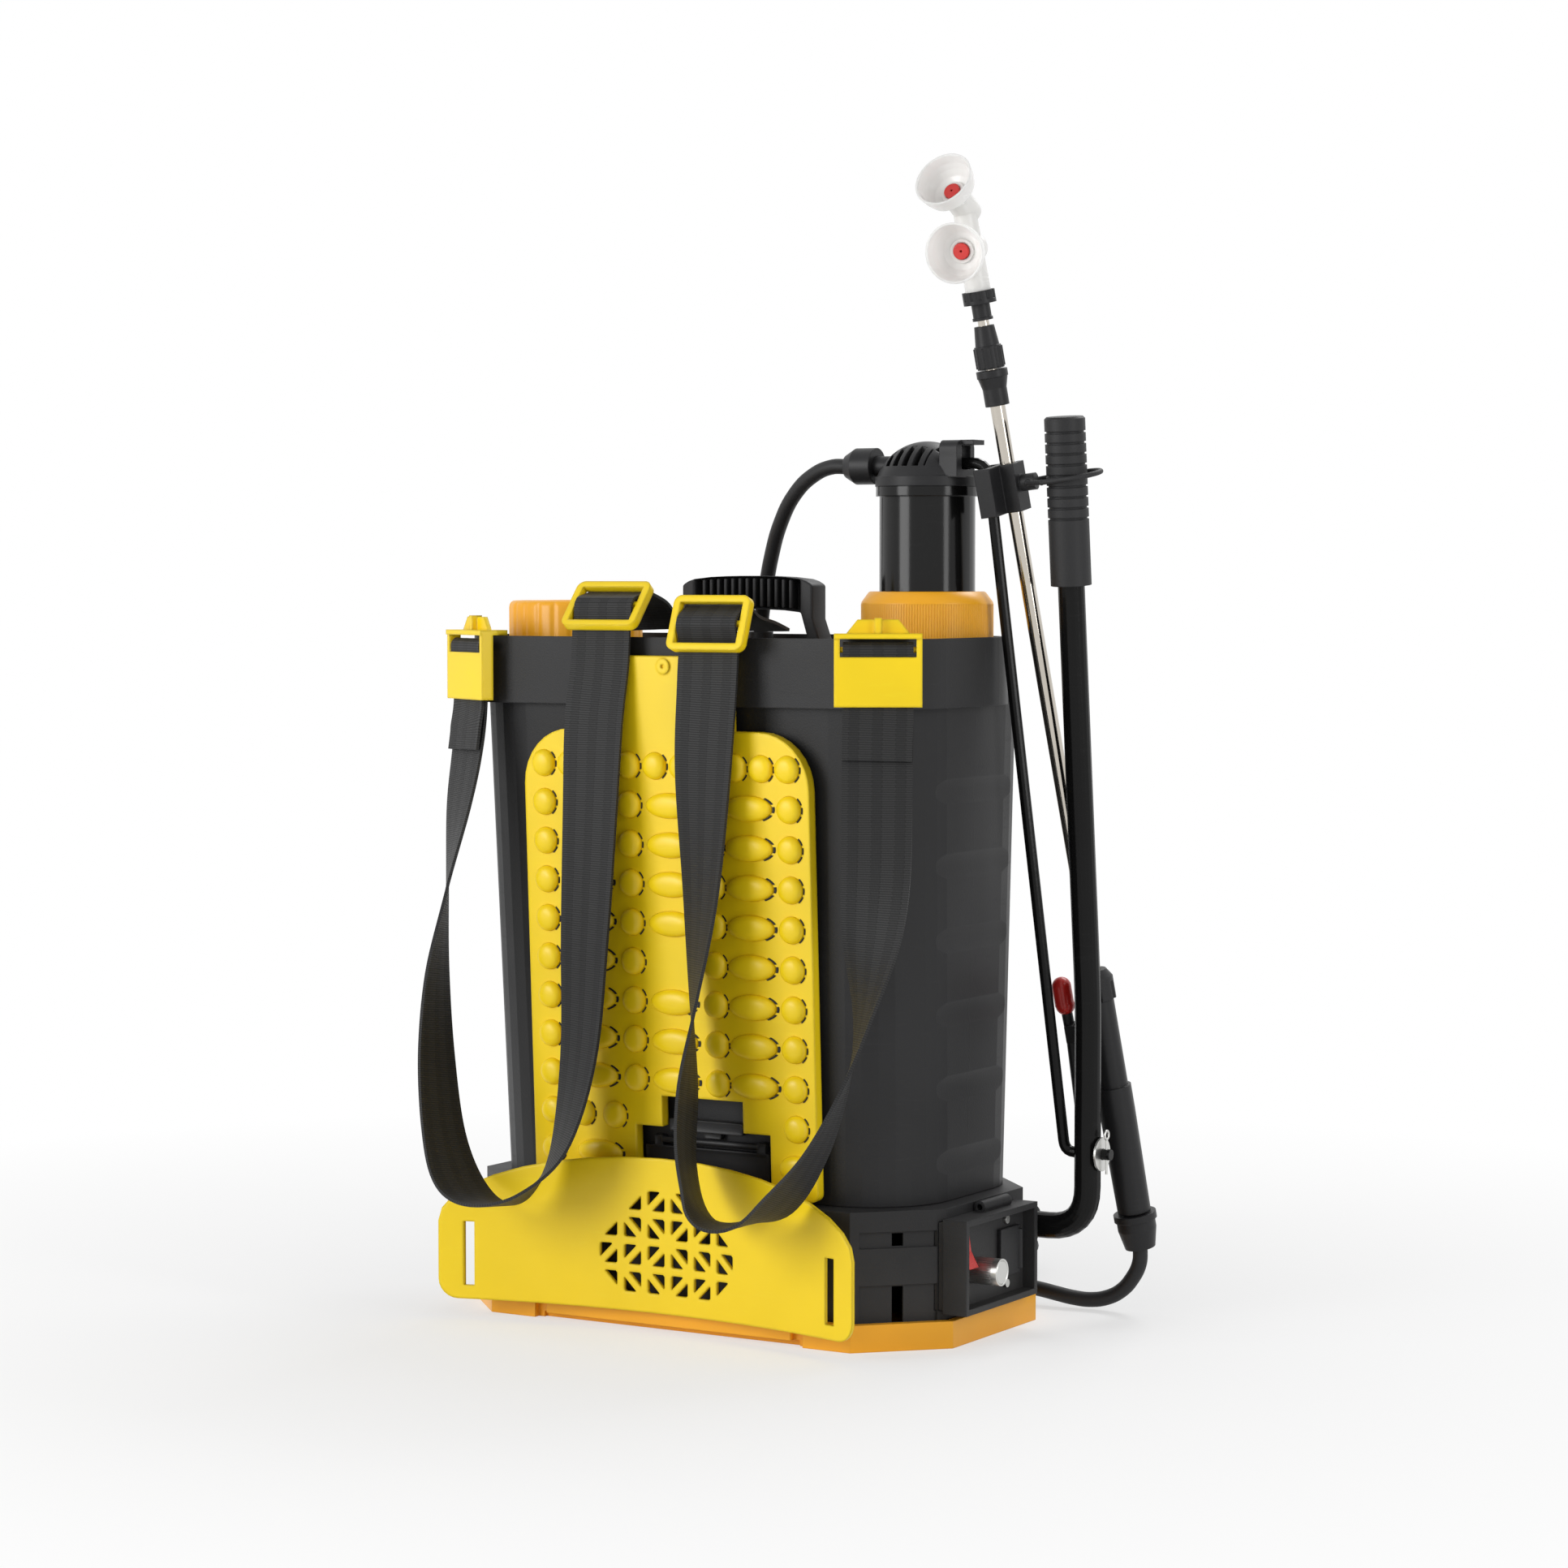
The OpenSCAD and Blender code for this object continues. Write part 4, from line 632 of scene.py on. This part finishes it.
# %% Through the buckle
# Each pair is a height in the buckle's plane and how far the webbing lies in front of that plane: behind
# the upper bar, over the middle one, and behind the lower one.
buckle_turn = [
    (17.5, -4.8), (13.5, -3.4), (8, 0.6), (3, 4.4), (0, 4.8), (-3, 4.4), (-8, 0.6), (-13.5, -3.4),
    (-17.5, -4.6),
]


def buckle_points(middle, tilt):
    x, y, z = middle
    sine, cosine = math.sin(math.radians(tilt)), math.cos(math.radians(tilt))
    return [
        (x, y - sine * high - cosine * out, z + cosine * high - sine * out) for high, out in buckle_turn
    ]


# %% The straps' routes
# Each route point has a direction for the strap's width at that point.
level = (1, 0, 0)
left_route = [
    (-46, -58, 495), (-47, -72, 512), (-48, -92, 520), *buckle_points((-48, -114, 512), -40),
    (-48, -124, 470), (-50, -129, 430), (-50, -134, 367), (-52, -138, 280), (-55, -142, 194),
    (-64, -154, 130), (-84, -168, 98), (-110, -175, 90), (-136, -172, 102), (-156, -164, 136),
    (-168, -156, 190), (-172, -149, 248), (-170, -140, 305), (-168, -128, 364), (-168, -117, 405),
]
left_wide = [
    *[level] * (len(buckle_turn) + 5), (1, -0.1, 0),
    (1, -0.25, 0), (1, -0.5, 0), (0.9, -0.8, 0.2), (0.5, -1, 0.2), (0.1, -1, 0.1), (-0.1, -1, 0),
    (0, -1, 0), (0.1, -1, 0), (0.3, -1, 0), (0.6, -0.9, 0), (0.8, -0.6, 0), (0.86, -0.5, 0),
]
right_route = [
    (44, -58, 495), (44, -76, 500), (44, -99, 505), *buckle_points((44, -125, 500), -20),
    (44, -129, 455), (42, -131, 400), (42, -134, 314), (40, -140, 240), (40, -148, 180),
    (46, -160, 132), (64, -172, 100), (92, -178, 92), (122, -172, 104), (148, -160, 140),
    (166, -148, 190), (174, -138, 238), (177, -128, 318), (174, -120, 380), (171, -114, 415),
]
right_wide = [
    *[level] * (len(buckle_turn) + 4), (1, -0.1, 0), (0.9, -0.5, 0),
    (0.6, -0.8, 0), (0.3, -1, 0), (0.3, -1, 0.2), (0.3, -1, 0.2), (0.1, -1, 0), (-0.2, -1, 0),
    (0.1, -1, 0), (0.4, -0.9, 0), (0.6, -0.6, 0), (0.866, 0.2, 0), (0.866, 0.45, 0), (0.866, 0.5, 0),
]

# %% Round the clip's pin and back, sewn down on itself
# Each pair is how far out of the clip's back plate the webbing lies, and its height. The clips stand
# across the tank's corners, 30 degrees round from its front.
clip_turn = [
    (3.0, 440), (3.0, 468), (1.0, 479), (1.2, 484.5), (4.2, 487), (7.2, 484.5), (7.4, 479), (5.4, 470),
    (5.4, 443),
]
clip_tail = {
    -1: [(-168.9, -116.6, 424), (-169.6, -119.0, 408)],
    1: [(171.6, -115.3, 424), (172.8, -118.2, 408)],
}
clip_x, clip_y = 167.25, -106.66
clip_sine, clip_cosine = 0.5, 0.866


def clip_points(side):
    turned = [
        (side * (clip_x + clip_sine * out), clip_y - clip_cosine * out, z) for out, z in clip_turn
    ]
    return turned + clip_tail[side]


for side, route, wide in ((-1, left_route, left_wide), (1, right_route, right_wide)):
    route += clip_points(side)
    wide += [(clip_cosine, side * clip_sine, 0)] * (len(route) - len(wide))
print("route points", len(left_route), len(right_route))


# %% A smooth line through points
def eased(points, steps):
    points = [Vector(p) for p in points]
    line = []
    for i in range(len(points) - 1):
        a, b = points[max(i - 1, 0)], points[i]
        c, d = points[i + 1], points[min(i + 2, len(points) - 1)]
        for k in range(steps):
            t = k / steps
            line.append(0.5 * (2 * b + (c - a) * t + (2 * a - 5 * b + 4 * c - d) * t ** 2
                               + (3 * b - 3 * c + d - a) * t ** 3))
    return line + [points[-1]]


# %% A strip of webbing, cut flat and then laid along its route
# The crown is the strip's slight rise across its width, in millimetres.
strap_wide = 0.048
strap_thick = 0.0022
knot_steps = 8
crown = (-0.16, 0.0, 0.05, -0.02, 0.05, -0.02, 0.05, 0.0, -0.16)


def webbing(name, route, wide):
    line, sides = eased(route, knot_steps), eased(wide, knot_steps)
    rows, columns = len(line) - 1, len(crown) - 1
    select_none()
    bpy.ops.mesh.primitive_grid_add(x_subdivisions=columns, y_subdivisions=rows, size=1)
    strap = bpy.context.object
    runs = [0.0]
    for a, b in zip(line, line[1:]):
        runs.append(runs[-1] + (b - a).length / 1000)
    cut = {}
    for vert in strap.data.vertices:
        cut[vert.index] = (round((vert.co.x + 0.5) * columns), round((vert.co.y + 0.5) * rows))
    sheet = strap.data.uv_layers.active
    sheet.name = "strap"
    for loop in strap.data.loops:
        column, row = cut[loop.vertex_index]
        sheet.data[loop.index].uv = ((column / columns - 0.5) * strap_wide, runs[row])
    for vert in strap.data.vertices:
        column, row = cut[vert.index]
        ahead = (line[min(row + 1, rows)] - line[max(row - 1, 0)]).normalized()
        side = (sides[row] - ahead * sides[row].dot(ahead)).normalized()
        up = side.cross(ahead).normalized()
        vert.co = mm(line[row] + up * crown[column]) + side * (column / columns - 0.5) * strap_wide
    thicken(strap, strap_thick, offset=0)
    apply_all(strap)
    smooth(50)
    strap.data.materials.append(webbing_black)
    print(name, "length", round(runs[-1], 3), "faces", len(strap.data.polygons))
    return settle(strap, name)


left_strap = webbing("left_webbing", left_route, left_wide)
right_strap = webbing("right_webbing", right_route, right_wide)
for strap, node in ((left_strap, "strap_left"), (right_strap, "strap_right")):
    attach(strap, "tank")
    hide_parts(node)

# %% [markdown]
# ## Pad nubs
# The yellow pad is moulded with rows of hollow nubs that hold it off the wearer's back: round ones
# at the edges and long ones between. One nub is shaped from a sphere, flattened and given a foot, and
# copied to each place. Beside each nub the mould leaves a broken row of dark air slots.

# %% Nub places
# Each place is x, height and the nub's two half sizes. The middle row and the rows beside the notch have
# fewer nubs.
top_row, row_step, row_count = 401, 27.8, 11
rows = [top_row - row_step * i for i in range(row_count)]
round_nub, long_nub, oval_nub = (9.6, 9.6), (19, 9), (13, 9)
nub_places = []
for i, z in enumerate(rows):
    if i == 0:
        places = [(x, round_nub) for x in (-101, -79, -57, -29, -7, 15, 37, 59, 80, 101)]
    elif i < 9:
        places = [(-101, round_nub), (-64, long_nub), (-29, round_nub), (39, round_nub), (69, long_nub),
                  (102, round_nub)]
        if i != 5:
            places.append((4, long_nub))
    elif i == 9:
        places = [(-101, round_nub), (-75, round_nub), (-48, round_nub), (102, round_nub)]
    else:
        places = [(-101, round_nub), (-62, long_nub), (101, oval_nub)]
    nub_places += [(x, z, size) for x, size in places]
print("nubs", len(nub_places))


# %% Places on the leaning pad
# The pad leans on a foot line, and its face stands out in front of the tank's wall.
pad_lean = math.atan(16 / 352)
foot_y, foot_z = -88.3, 96
face_out = 14.3


def on_pad(x, z, out=0.0):
    deep, rise = face_out + out, z - foot_z
    sine, cosine = math.sin(pad_lean), math.cos(pad_lean)
    return mm((x, foot_y - deep * cosine - rise * sine, foot_z + rise * cosine - deep * sine))


# %% One nub, and its copies
# The nub's rings are pushed outwards by a power of their radius, which flattens the dome. The dome
# stands a little off the pad's face, and its foot reaches back into the pad.
nub_flatness = -0.42
nub_high, nub_out = 5.2, 0.4


def make_nub():
    select_none()
    bpy.ops.mesh.primitive_uv_sphere_add(segments=24, ring_count=14, radius=1)
    nub = bpy.context.object
    bpy.ops.object.mode_set(mode="EDIT")
    bpy.ops.mesh.select_all(action="DESELECT")
    shape = bmesh.from_edit_mesh(nub.data)
    for vert in shape.verts:
        vert.select = vert.co.z < -0.01
    shape.select_flush_mode()
    bmesh.update_edit_mesh(nub.data)
    bpy.ops.mesh.delete(type="VERT")
    shape = bmesh.from_edit_mesh(nub.data)
    for vert in shape.verts:
        if vert.co.xy.length > 0.001:
            vert.co.xy *= vert.co.xy.length ** nub_flatness
    bmesh.update_edit_mesh(nub.data)
    pick_edges(nub, lambda edge: edge.is_boundary)
    bpy.ops.mesh.extrude_edges_move(TRANSFORM_OT_translate={"value": (0, 0, -0.16)})
    bpy.ops.transform.resize(value=(1.05, 1.05, 1))
    bpy.ops.mesh.edge_face_add()
    bpy.ops.object.mode_set(mode="OBJECT")
    smooth(60)
    return nub


def spread_copies(first, places, name, height, out):
    copies = []
    for x, z, (half_x, half_z) in places:
        copy = first.copy()
        copy.data = first.data.copy()
        bpy.context.scene.collection.objects.link(copy)
        copy.scale = (half_x / 1000, half_z / 1000, height / 1000)
        copy.rotation_euler = (math.pi / 2 + pad_lean, 0, 0)
        copy.location = on_pad(x, z, out)
        copies.append(copy)
    bpy.data.objects.remove(first)
    return joined(copies, name)


pad_nubs = spread_copies(make_nub(), nub_places, "pad_nubs", nub_high, nub_out)
pad_nubs.data.materials.append(pad_yellow)
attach(pad_nubs, "tank")
print("nub faces", len(pad_nubs.data.polygons))


# %% Air slots beside the nubs
# The slots lie on the nub's right, as arcs in degrees round it.
slots_from, slots_to, slot_step, slot_long = -55, 58, 38, 29
slot_high, slot_out = 1.0, 0.12


def in_slot(at):
    angle = math.degrees(math.atan2(at.y, at.x))
    return slots_from < angle < slots_to and (angle - slots_from) % slot_step < slot_long


def make_slots():
    select_none()
    bpy.ops.mesh.primitive_circle_add(vertices=72, radius=1.03, fill_type="NOTHING")
    slots = bpy.context.object
    bpy.ops.object.mode_set(mode="EDIT")
    bpy.ops.mesh.select_all(action="SELECT")
    bpy.ops.mesh.extrude_edges_move()
    bpy.ops.transform.resize(value=(1.1, 1.1, 1))
    pick_faces(slots, lambda at, normal: not in_slot(at))
    bpy.ops.mesh.delete(type="FACE")
    bpy.ops.mesh.select_all(action="SELECT")
    bpy.ops.mesh.normals_make_consistent(inside=False)
    bpy.ops.object.mode_set(mode="OBJECT")
    thicken(slots, 0.2)
    apply_all(slots)
    return slots


slot_dark = plastic("slot_dark", (0.006, 0.006, 0.006), (0.6, 0.7), wear=0.0)
pad_slots = spread_copies(make_slots(), nub_places, "pad_slots", slot_high, slot_out)
pad_slots.data.materials.append(slot_dark)
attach(pad_slots, "tank")
print("slot faces", len(pad_slots.data.polygons))

# %% [markdown]
# ## Battery door
# The notch in the pad shows the top of the battery's door, with a hinge rod between two lugs and a bar
# to pull. Each block could be a plain box, but a moulded door is hollow at its face and soft at its
# edges, so each is a cube whose front is inset and pushed in, and then a bevel rounds it.

# %% Door, lugs, rod and pull bar
# All of it stands just off the tank's wall, behind the pad's face.
door_back = 0.3 - face_out


def door_block(x_low, x_high, z_low, z_high, thick, dish):
    select_none()
    middle = on_pad((x_low + x_high) / 2, (z_low + z_high) / 2, door_back + thick / 2)
    bpy.ops.mesh.primitive_cube_add(size=1, location=middle, rotation=(pad_lean, 0, 0))
    block = bpy.context.object
    block.scale = mm((x_high - x_low, thick, z_high - z_low))
    bpy.ops.object.transform_apply(location=False, rotation=False, scale=True)
    bpy.ops.object.mode_set(mode="EDIT")
    pick_faces(block, lambda at, normal: normal.y < -0.9)
    bpy.ops.mesh.inset(thickness=dish / 1000, depth=-dish / 2000)
    bpy.ops.object.mode_set(mode="OBJECT")
    return block


def hinge_rod(x_low, x_high, z):
    select_none()
    bpy.ops.mesh.primitive_cylinder_add(vertices=24, radius=0.0024, depth=(x_high - x_low) / 1000,
                                        location=on_pad((x_low + x_high) / 2, z, door_back + 4),
                                        rotation=(0, math.pi / 2, 0))
    return bpy.context.object


door_top = joined([
    door_block(-28, 74, 100, 130, 7, 2.4),
    door_block(-21, -14, 129.5, 137, 6, 1.0),
    door_block(64, 71, 129.5, 137, 6, 1.0),
    door_block(-7, 54, 141.5, 150, 8, 1.6),
    door_block(20, 34, 137, 142, 5, 1.0),
    hinge_rod(-15, 65, 134),
], "battery_door_top")
soften(door_top, 0.0008)
apply_all(door_top)
smooth(35)
door_top.data.materials.append(satin_black)
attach(door_top, "tank")
print("door faces", len(door_top.data.polygons))

# %% [markdown]
# ## Carry handle
# The handle is a moulded arch whose grip is open at the front and stiffened with thin fins. It starts as
# a block the size of the grip. Its ends are cut off as legs and drawn down to the deck, the front is
# inset and pushed in, the grip is bent into a low arch, and one fin is copied along the hollow.

# %% The arch
grip_half, grip_z = 0.055, 519.5
leg_in = 0.045
grip_cuts = (6, 18, 31, 45, 50, 53)


def arch_rise(x):
    part = abs(x / grip_half)
    return 0.0015 - 0.0025 * part ** 2 - 0.0045 * part ** 10


def in_hollow(at, normal):
    return normal.y < -0.9 and abs(at.x) < leg_in and at.z > 0.508


select_none()
bpy.ops.mesh.primitive_cube_add(size=1, location=(0, 0, 0))
arch = bpy.context.object
arch.scale = mm((110, 20, 24))
arch.location = mm((0, 5, grip_z))
settle(arch, "arch")
bpy.ops.object.mode_set(mode="EDIT")
for cut in (*[-x for x in reversed(grip_cuts)], *grip_cuts):
    bpy.ops.mesh.select_all(action="SELECT")
    bpy.ops.mesh.bisect(plane_co=mm((cut, 0, 0)), plane_no=(1, 0, 0))
for end in (-1, 1):
    pick_faces(arch, lambda at, normal: normal.z < -0.9 and at.x * end > leg_in)
    bpy.ops.mesh.extrude_region_move(TRANSFORM_OT_translate={"value": mm((end * 10, 0, -33))})
pick_faces(arch, in_hollow)
bpy.ops.mesh.inset(thickness=0.0022, depth=-0.010)
shape = bmesh.from_edit_mesh(arch.data)
for vert in shape.verts:
    if vert.co.z > 0.5:
        vert.co.z += arch_rise(vert.co.x)
bmesh.update_edit_mesh(arch.data)
bpy.ops.object.mode_set(mode="OBJECT")
soften(arch, 0.0028, segments=3)
apply_all(arch)

# %% One fin, and its copies
fin_count, fin_step = 13, 6.1


def make_fin(x):
    select_none()
    bpy.ops.mesh.primitive_cube_add(size=1, location=(0, 0, 0))
    fin = bpy.context.object
    fin.scale = mm((2.2, 10.4, 20.4))
    fin.location = mm((x, 0.3, grip_z)) + Vector((0, 0, arch_rise(x / 1000)))
    settle(fin, "fin")
    soften(fin, 0.0006)
    apply_all(fin)
    return fin


fins = [make_fin((i - (fin_count - 1) / 2) * fin_step) for i in range(fin_count)]
carry_handle = joined([arch, *fins], "carry_arch")
smooth(35)
carry_handle.data.materials.append(tank_black)
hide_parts("carry_handle")
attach(carry_handle, "tank")
print("handle faces", len(carry_handle.data.polygons))

# %% [markdown]
# ## Speed knob
# The knob that sets the pump's speed is turned metal with a ribbed grip, a plain band and a dished face.
# A cylinder is cut at the band, every second strip of the grip is pushed in, and the face is inset.

# %% Ribbed knob
knob_at, knob_long, knob_strips = mm((215, -35, 51)), 0.022, 60


def second_strip(at, normal, strips):
    turn = (math.atan2(at.y, at.x) / (2 * math.pi) * strips) % strips
    return abs(normal.z) < 0.1 and int(turn) % 2 == 0


select_none()
bpy.ops.mesh.primitive_cylinder_add(vertices=knob_strips, radius=0.0095, depth=knob_long,
                                    location=knob_at, rotation=(0, math.pi / 2, 0))
knob = bpy.context.object
bpy.ops.object.mode_set(mode="EDIT")
bpy.ops.mesh.select_all(action="SELECT")
bpy.ops.mesh.bisect(plane_co=knob_at + mm((6.5, 0, 0)), plane_no=(1, 0, 0))
pick_faces(knob, lambda at, normal: at.z < 0.006 and second_strip(at, normal, knob_strips))
bpy.ops.mesh.inset(thickness=0.0002, depth=-0.0004, use_individual=True)
pick_faces(knob, lambda at, normal: normal.z > 0.9)
bpy.ops.mesh.inset(thickness=0.0009, depth=0)
bpy.ops.mesh.inset(thickness=0.0005, depth=-0.0006)
bpy.ops.mesh.inset(thickness=0.0005, depth=0.0005)
pick_faces(knob, lambda at, normal: normal.z < -0.9)
bpy.ops.mesh.inset(thickness=0.0065, depth=0)
bpy.ops.mesh.extrude_region_move(TRANSFORM_OT_translate={"value": (-0.009, 0, 0)})
bpy.ops.object.mode_set(mode="OBJECT")
smooth(20)
settle(knob, "ribbed_knob")
knob.data.materials.append(zinc)
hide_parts("speed_knob")
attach(knob, "knob")
print("knob faces", len(knob.data.polygons))

# %% [markdown]
# ## Screw caps
# Both orange caps are turned shapes with a grip round them: the filler lid has wide shallow lobes and a
# rounded rim, and the pump collar has fine ribs. Each starts as a circle that is drawn up and in along
# the cap's section. The grip is worked into the outer wall, and then the sheet is thickened inwards.

# %% A cap drawn from a circle
cap_wall = 0.004


def drawn_cap(node, section, sides):
    select_none()
    bpy.ops.mesh.primitive_circle_add(vertices=sides, radius=section[0][0] / 1000, fill_type="NOTHING")
    cap = bpy.context.object
    bpy.ops.object.mode_set(mode="EDIT")
    bpy.ops.mesh.select_all(action="SELECT")
    for (r_now, z_now), (r_next, z_next) in zip(section, section[1:]):
        rise = mm((0, 0, z_next - z_now))
        bpy.ops.mesh.extrude_edges_move(TRANSFORM_OT_translate={"value": rise})
        bpy.ops.transform.resize(value=(r_next / r_now, r_next / r_now, 1))
    low, high = (Vector(corner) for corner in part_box(node))
    cap.location = ((low.x + high.x) / 2, (low.y + high.y) / 2, low.z)
    return cap


def thick_cap(cap, name, node, body):
    bpy.ops.mesh.select_all(action="SELECT")
    bpy.ops.mesh.normals_make_consistent(inside=False)
    bpy.ops.object.mode_set(mode="OBJECT")
    thicken(cap, cap_wall)
    apply_all(cap)
    smooth(30)
    cap.data.materials.append(cap_orange)
    settle(cap, name)
    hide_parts(node)
    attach(cap, body)
    print(name, "faces", len(cap.data.polygons))


# %% Lobed filler lid
# A section is a list of radius and height, from the bottom edge up and in.
lid_section = [(49, 0), (49, 29), (48.6, 31.2), (47.6, 32.8), (46, 33.8), (44, 34), (41, 34), (40, 33.3)]
lid_lobes, lobe_sides, lobe_depth, lobe_top = 24, 12, 0.0008, 0.0315
lid = drawn_cap("filler_lid", lid_section, lid_lobes * lobe_sides)
bpy.ops.mesh.edge_face_add()
shape = bmesh.from_edit_mesh(lid.data)
for vert in shape.verts:
    if vert.co.z < lobe_top:
        angle = math.atan2(vert.co.y, vert.co.x)
        groove = lobe_depth * max(0.0, math.cos(lid_lobes * angle)) ** 2
        vert.co.xy *= 1 - groove / vert.co.xy.length
bmesh.update_edit_mesh(lid.data)
thick_cap(lid, "lobed_lid", "filler_lid", "lid")

# %% Ribbed pump collar
collar_section = [(47, 0), (47, 2), (47, 33), (46.6, 34.6), (41.6, 41.4), (40.4, 42), (35, 42)]
collar_strips = 300
collar = drawn_cap("pump_collar", collar_section, collar_strips)
pick_faces(collar, lambda at, normal: 0.002 < at.z < 0.033 and second_strip(at, normal, collar_strips))
bpy.ops.mesh.inset(thickness=0.00015, depth=-0.0003, use_individual=True)
thick_cap(collar, "ribbed_collar", "pump_collar", "collar")

# %% [markdown]
# ## Floor and light
# The photograph is a plain studio shot on white. A pale floor takes the soft shadow, and the white
# world stands behind it. Black mouldings show their shape only by what they reflect, so two large
# soft lamps stand left and right, with a third above.

# %% Floor
# The floor fades to plain white away from the object, for the rays that see it directly, so that only
# the shadow stays.
def seen_directly(tree):
    path = put(tree, "ShaderNodeLightPath")
    both = maths(tree, "ADD", path.outputs["Is Camera Ray"], path.outputs["Is Glossy Ray"])
    return maths(tree, "MINIMUM", maths(tree, "ADD", both, path.outputs["Is Transmission Ray"]), 1.0)


select_none()
bpy.ops.mesh.primitive_circle_add(vertices=96, radius=30, fill_type="NGON", location=(0, 0, 0))
floor = bpy.context.object
floor.name = "studio_floor"
floor_white, tree, shader = new_material("floor_white")
shader.inputs["Base Color"].default_value = (0.9, 0.9, 0.9, 1)
shader.inputs["Roughness"].default_value = 0.8
shader.inputs["Specular IOR Level"].default_value = 0.1
far = put(tree, "ShaderNodeVectorMath", operation="LENGTH")
wire(tree, put(tree, "ShaderNodeTexCoord").outputs["Object"], far.inputs[0])
whiter = spread(tree, far.outputs["Value"], 0.3, 1.1, 0.55, 1.0)
fade = maths(tree, "MULTIPLY", whiter, seen_directly(tree))
glow = put(tree, "ShaderNodeEmission")
glow.inputs["Color"].default_value = (1, 1, 1, 1)
blend_floor = put(tree, "ShaderNodeMixShader")
wire(tree, fade, blend_floor.inputs[0])
wire(tree, shader.outputs[0], blend_floor.inputs[1])
wire(tree, glow.outputs[0], blend_floor.inputs[2])
wire(tree, blend_floor.outputs[0], tree.nodes["Material Output"].inputs["Surface"])
floor.data.materials.append(floor_white)

# %% World and lamps
world = bpy.data.worlds.new("studio_world")
bpy.context.scene.world = world
world.use_nodes = True
tree = world.node_tree
back = tree.nodes["Background"]
back.inputs["Color"].default_value = (1, 1, 1, 1)
wire(tree, spread(tree, seen_directly(tree), 0.0, 1.0, 0.45, 1.0), back.inputs["Strength"])


def lamp(name, place, aim, size, power):
    data = bpy.data.lights.new(name, "AREA")
    data.shape = "RECTANGLE"
    data.size, data.size_y = size
    data.energy = power
    obj = bpy.data.objects.new(name, data)
    obj.location = place
    obj.rotation_euler = (Vector(aim) - Vector(place)).to_track_quat("-Z", "Y").to_euler()
    bpy.context.scene.collection.objects.link(obj)


lamp("key_left", (-1.2, -2.5, 1.0), (0, 0, 0.22), (1.3, 1.5), 40)
lamp("fill_right", (2.4, -0.6, 1.0), (0.1, 0, 0.3), (0.5, 1.8), 14)
lamp("top_back", (0.2, 1.6, 2.2), (0, 0, 0.4), (1.4, 0.7), 22)
bpy.context.scene.view_settings.view_transform = "Standard"
print("lit")
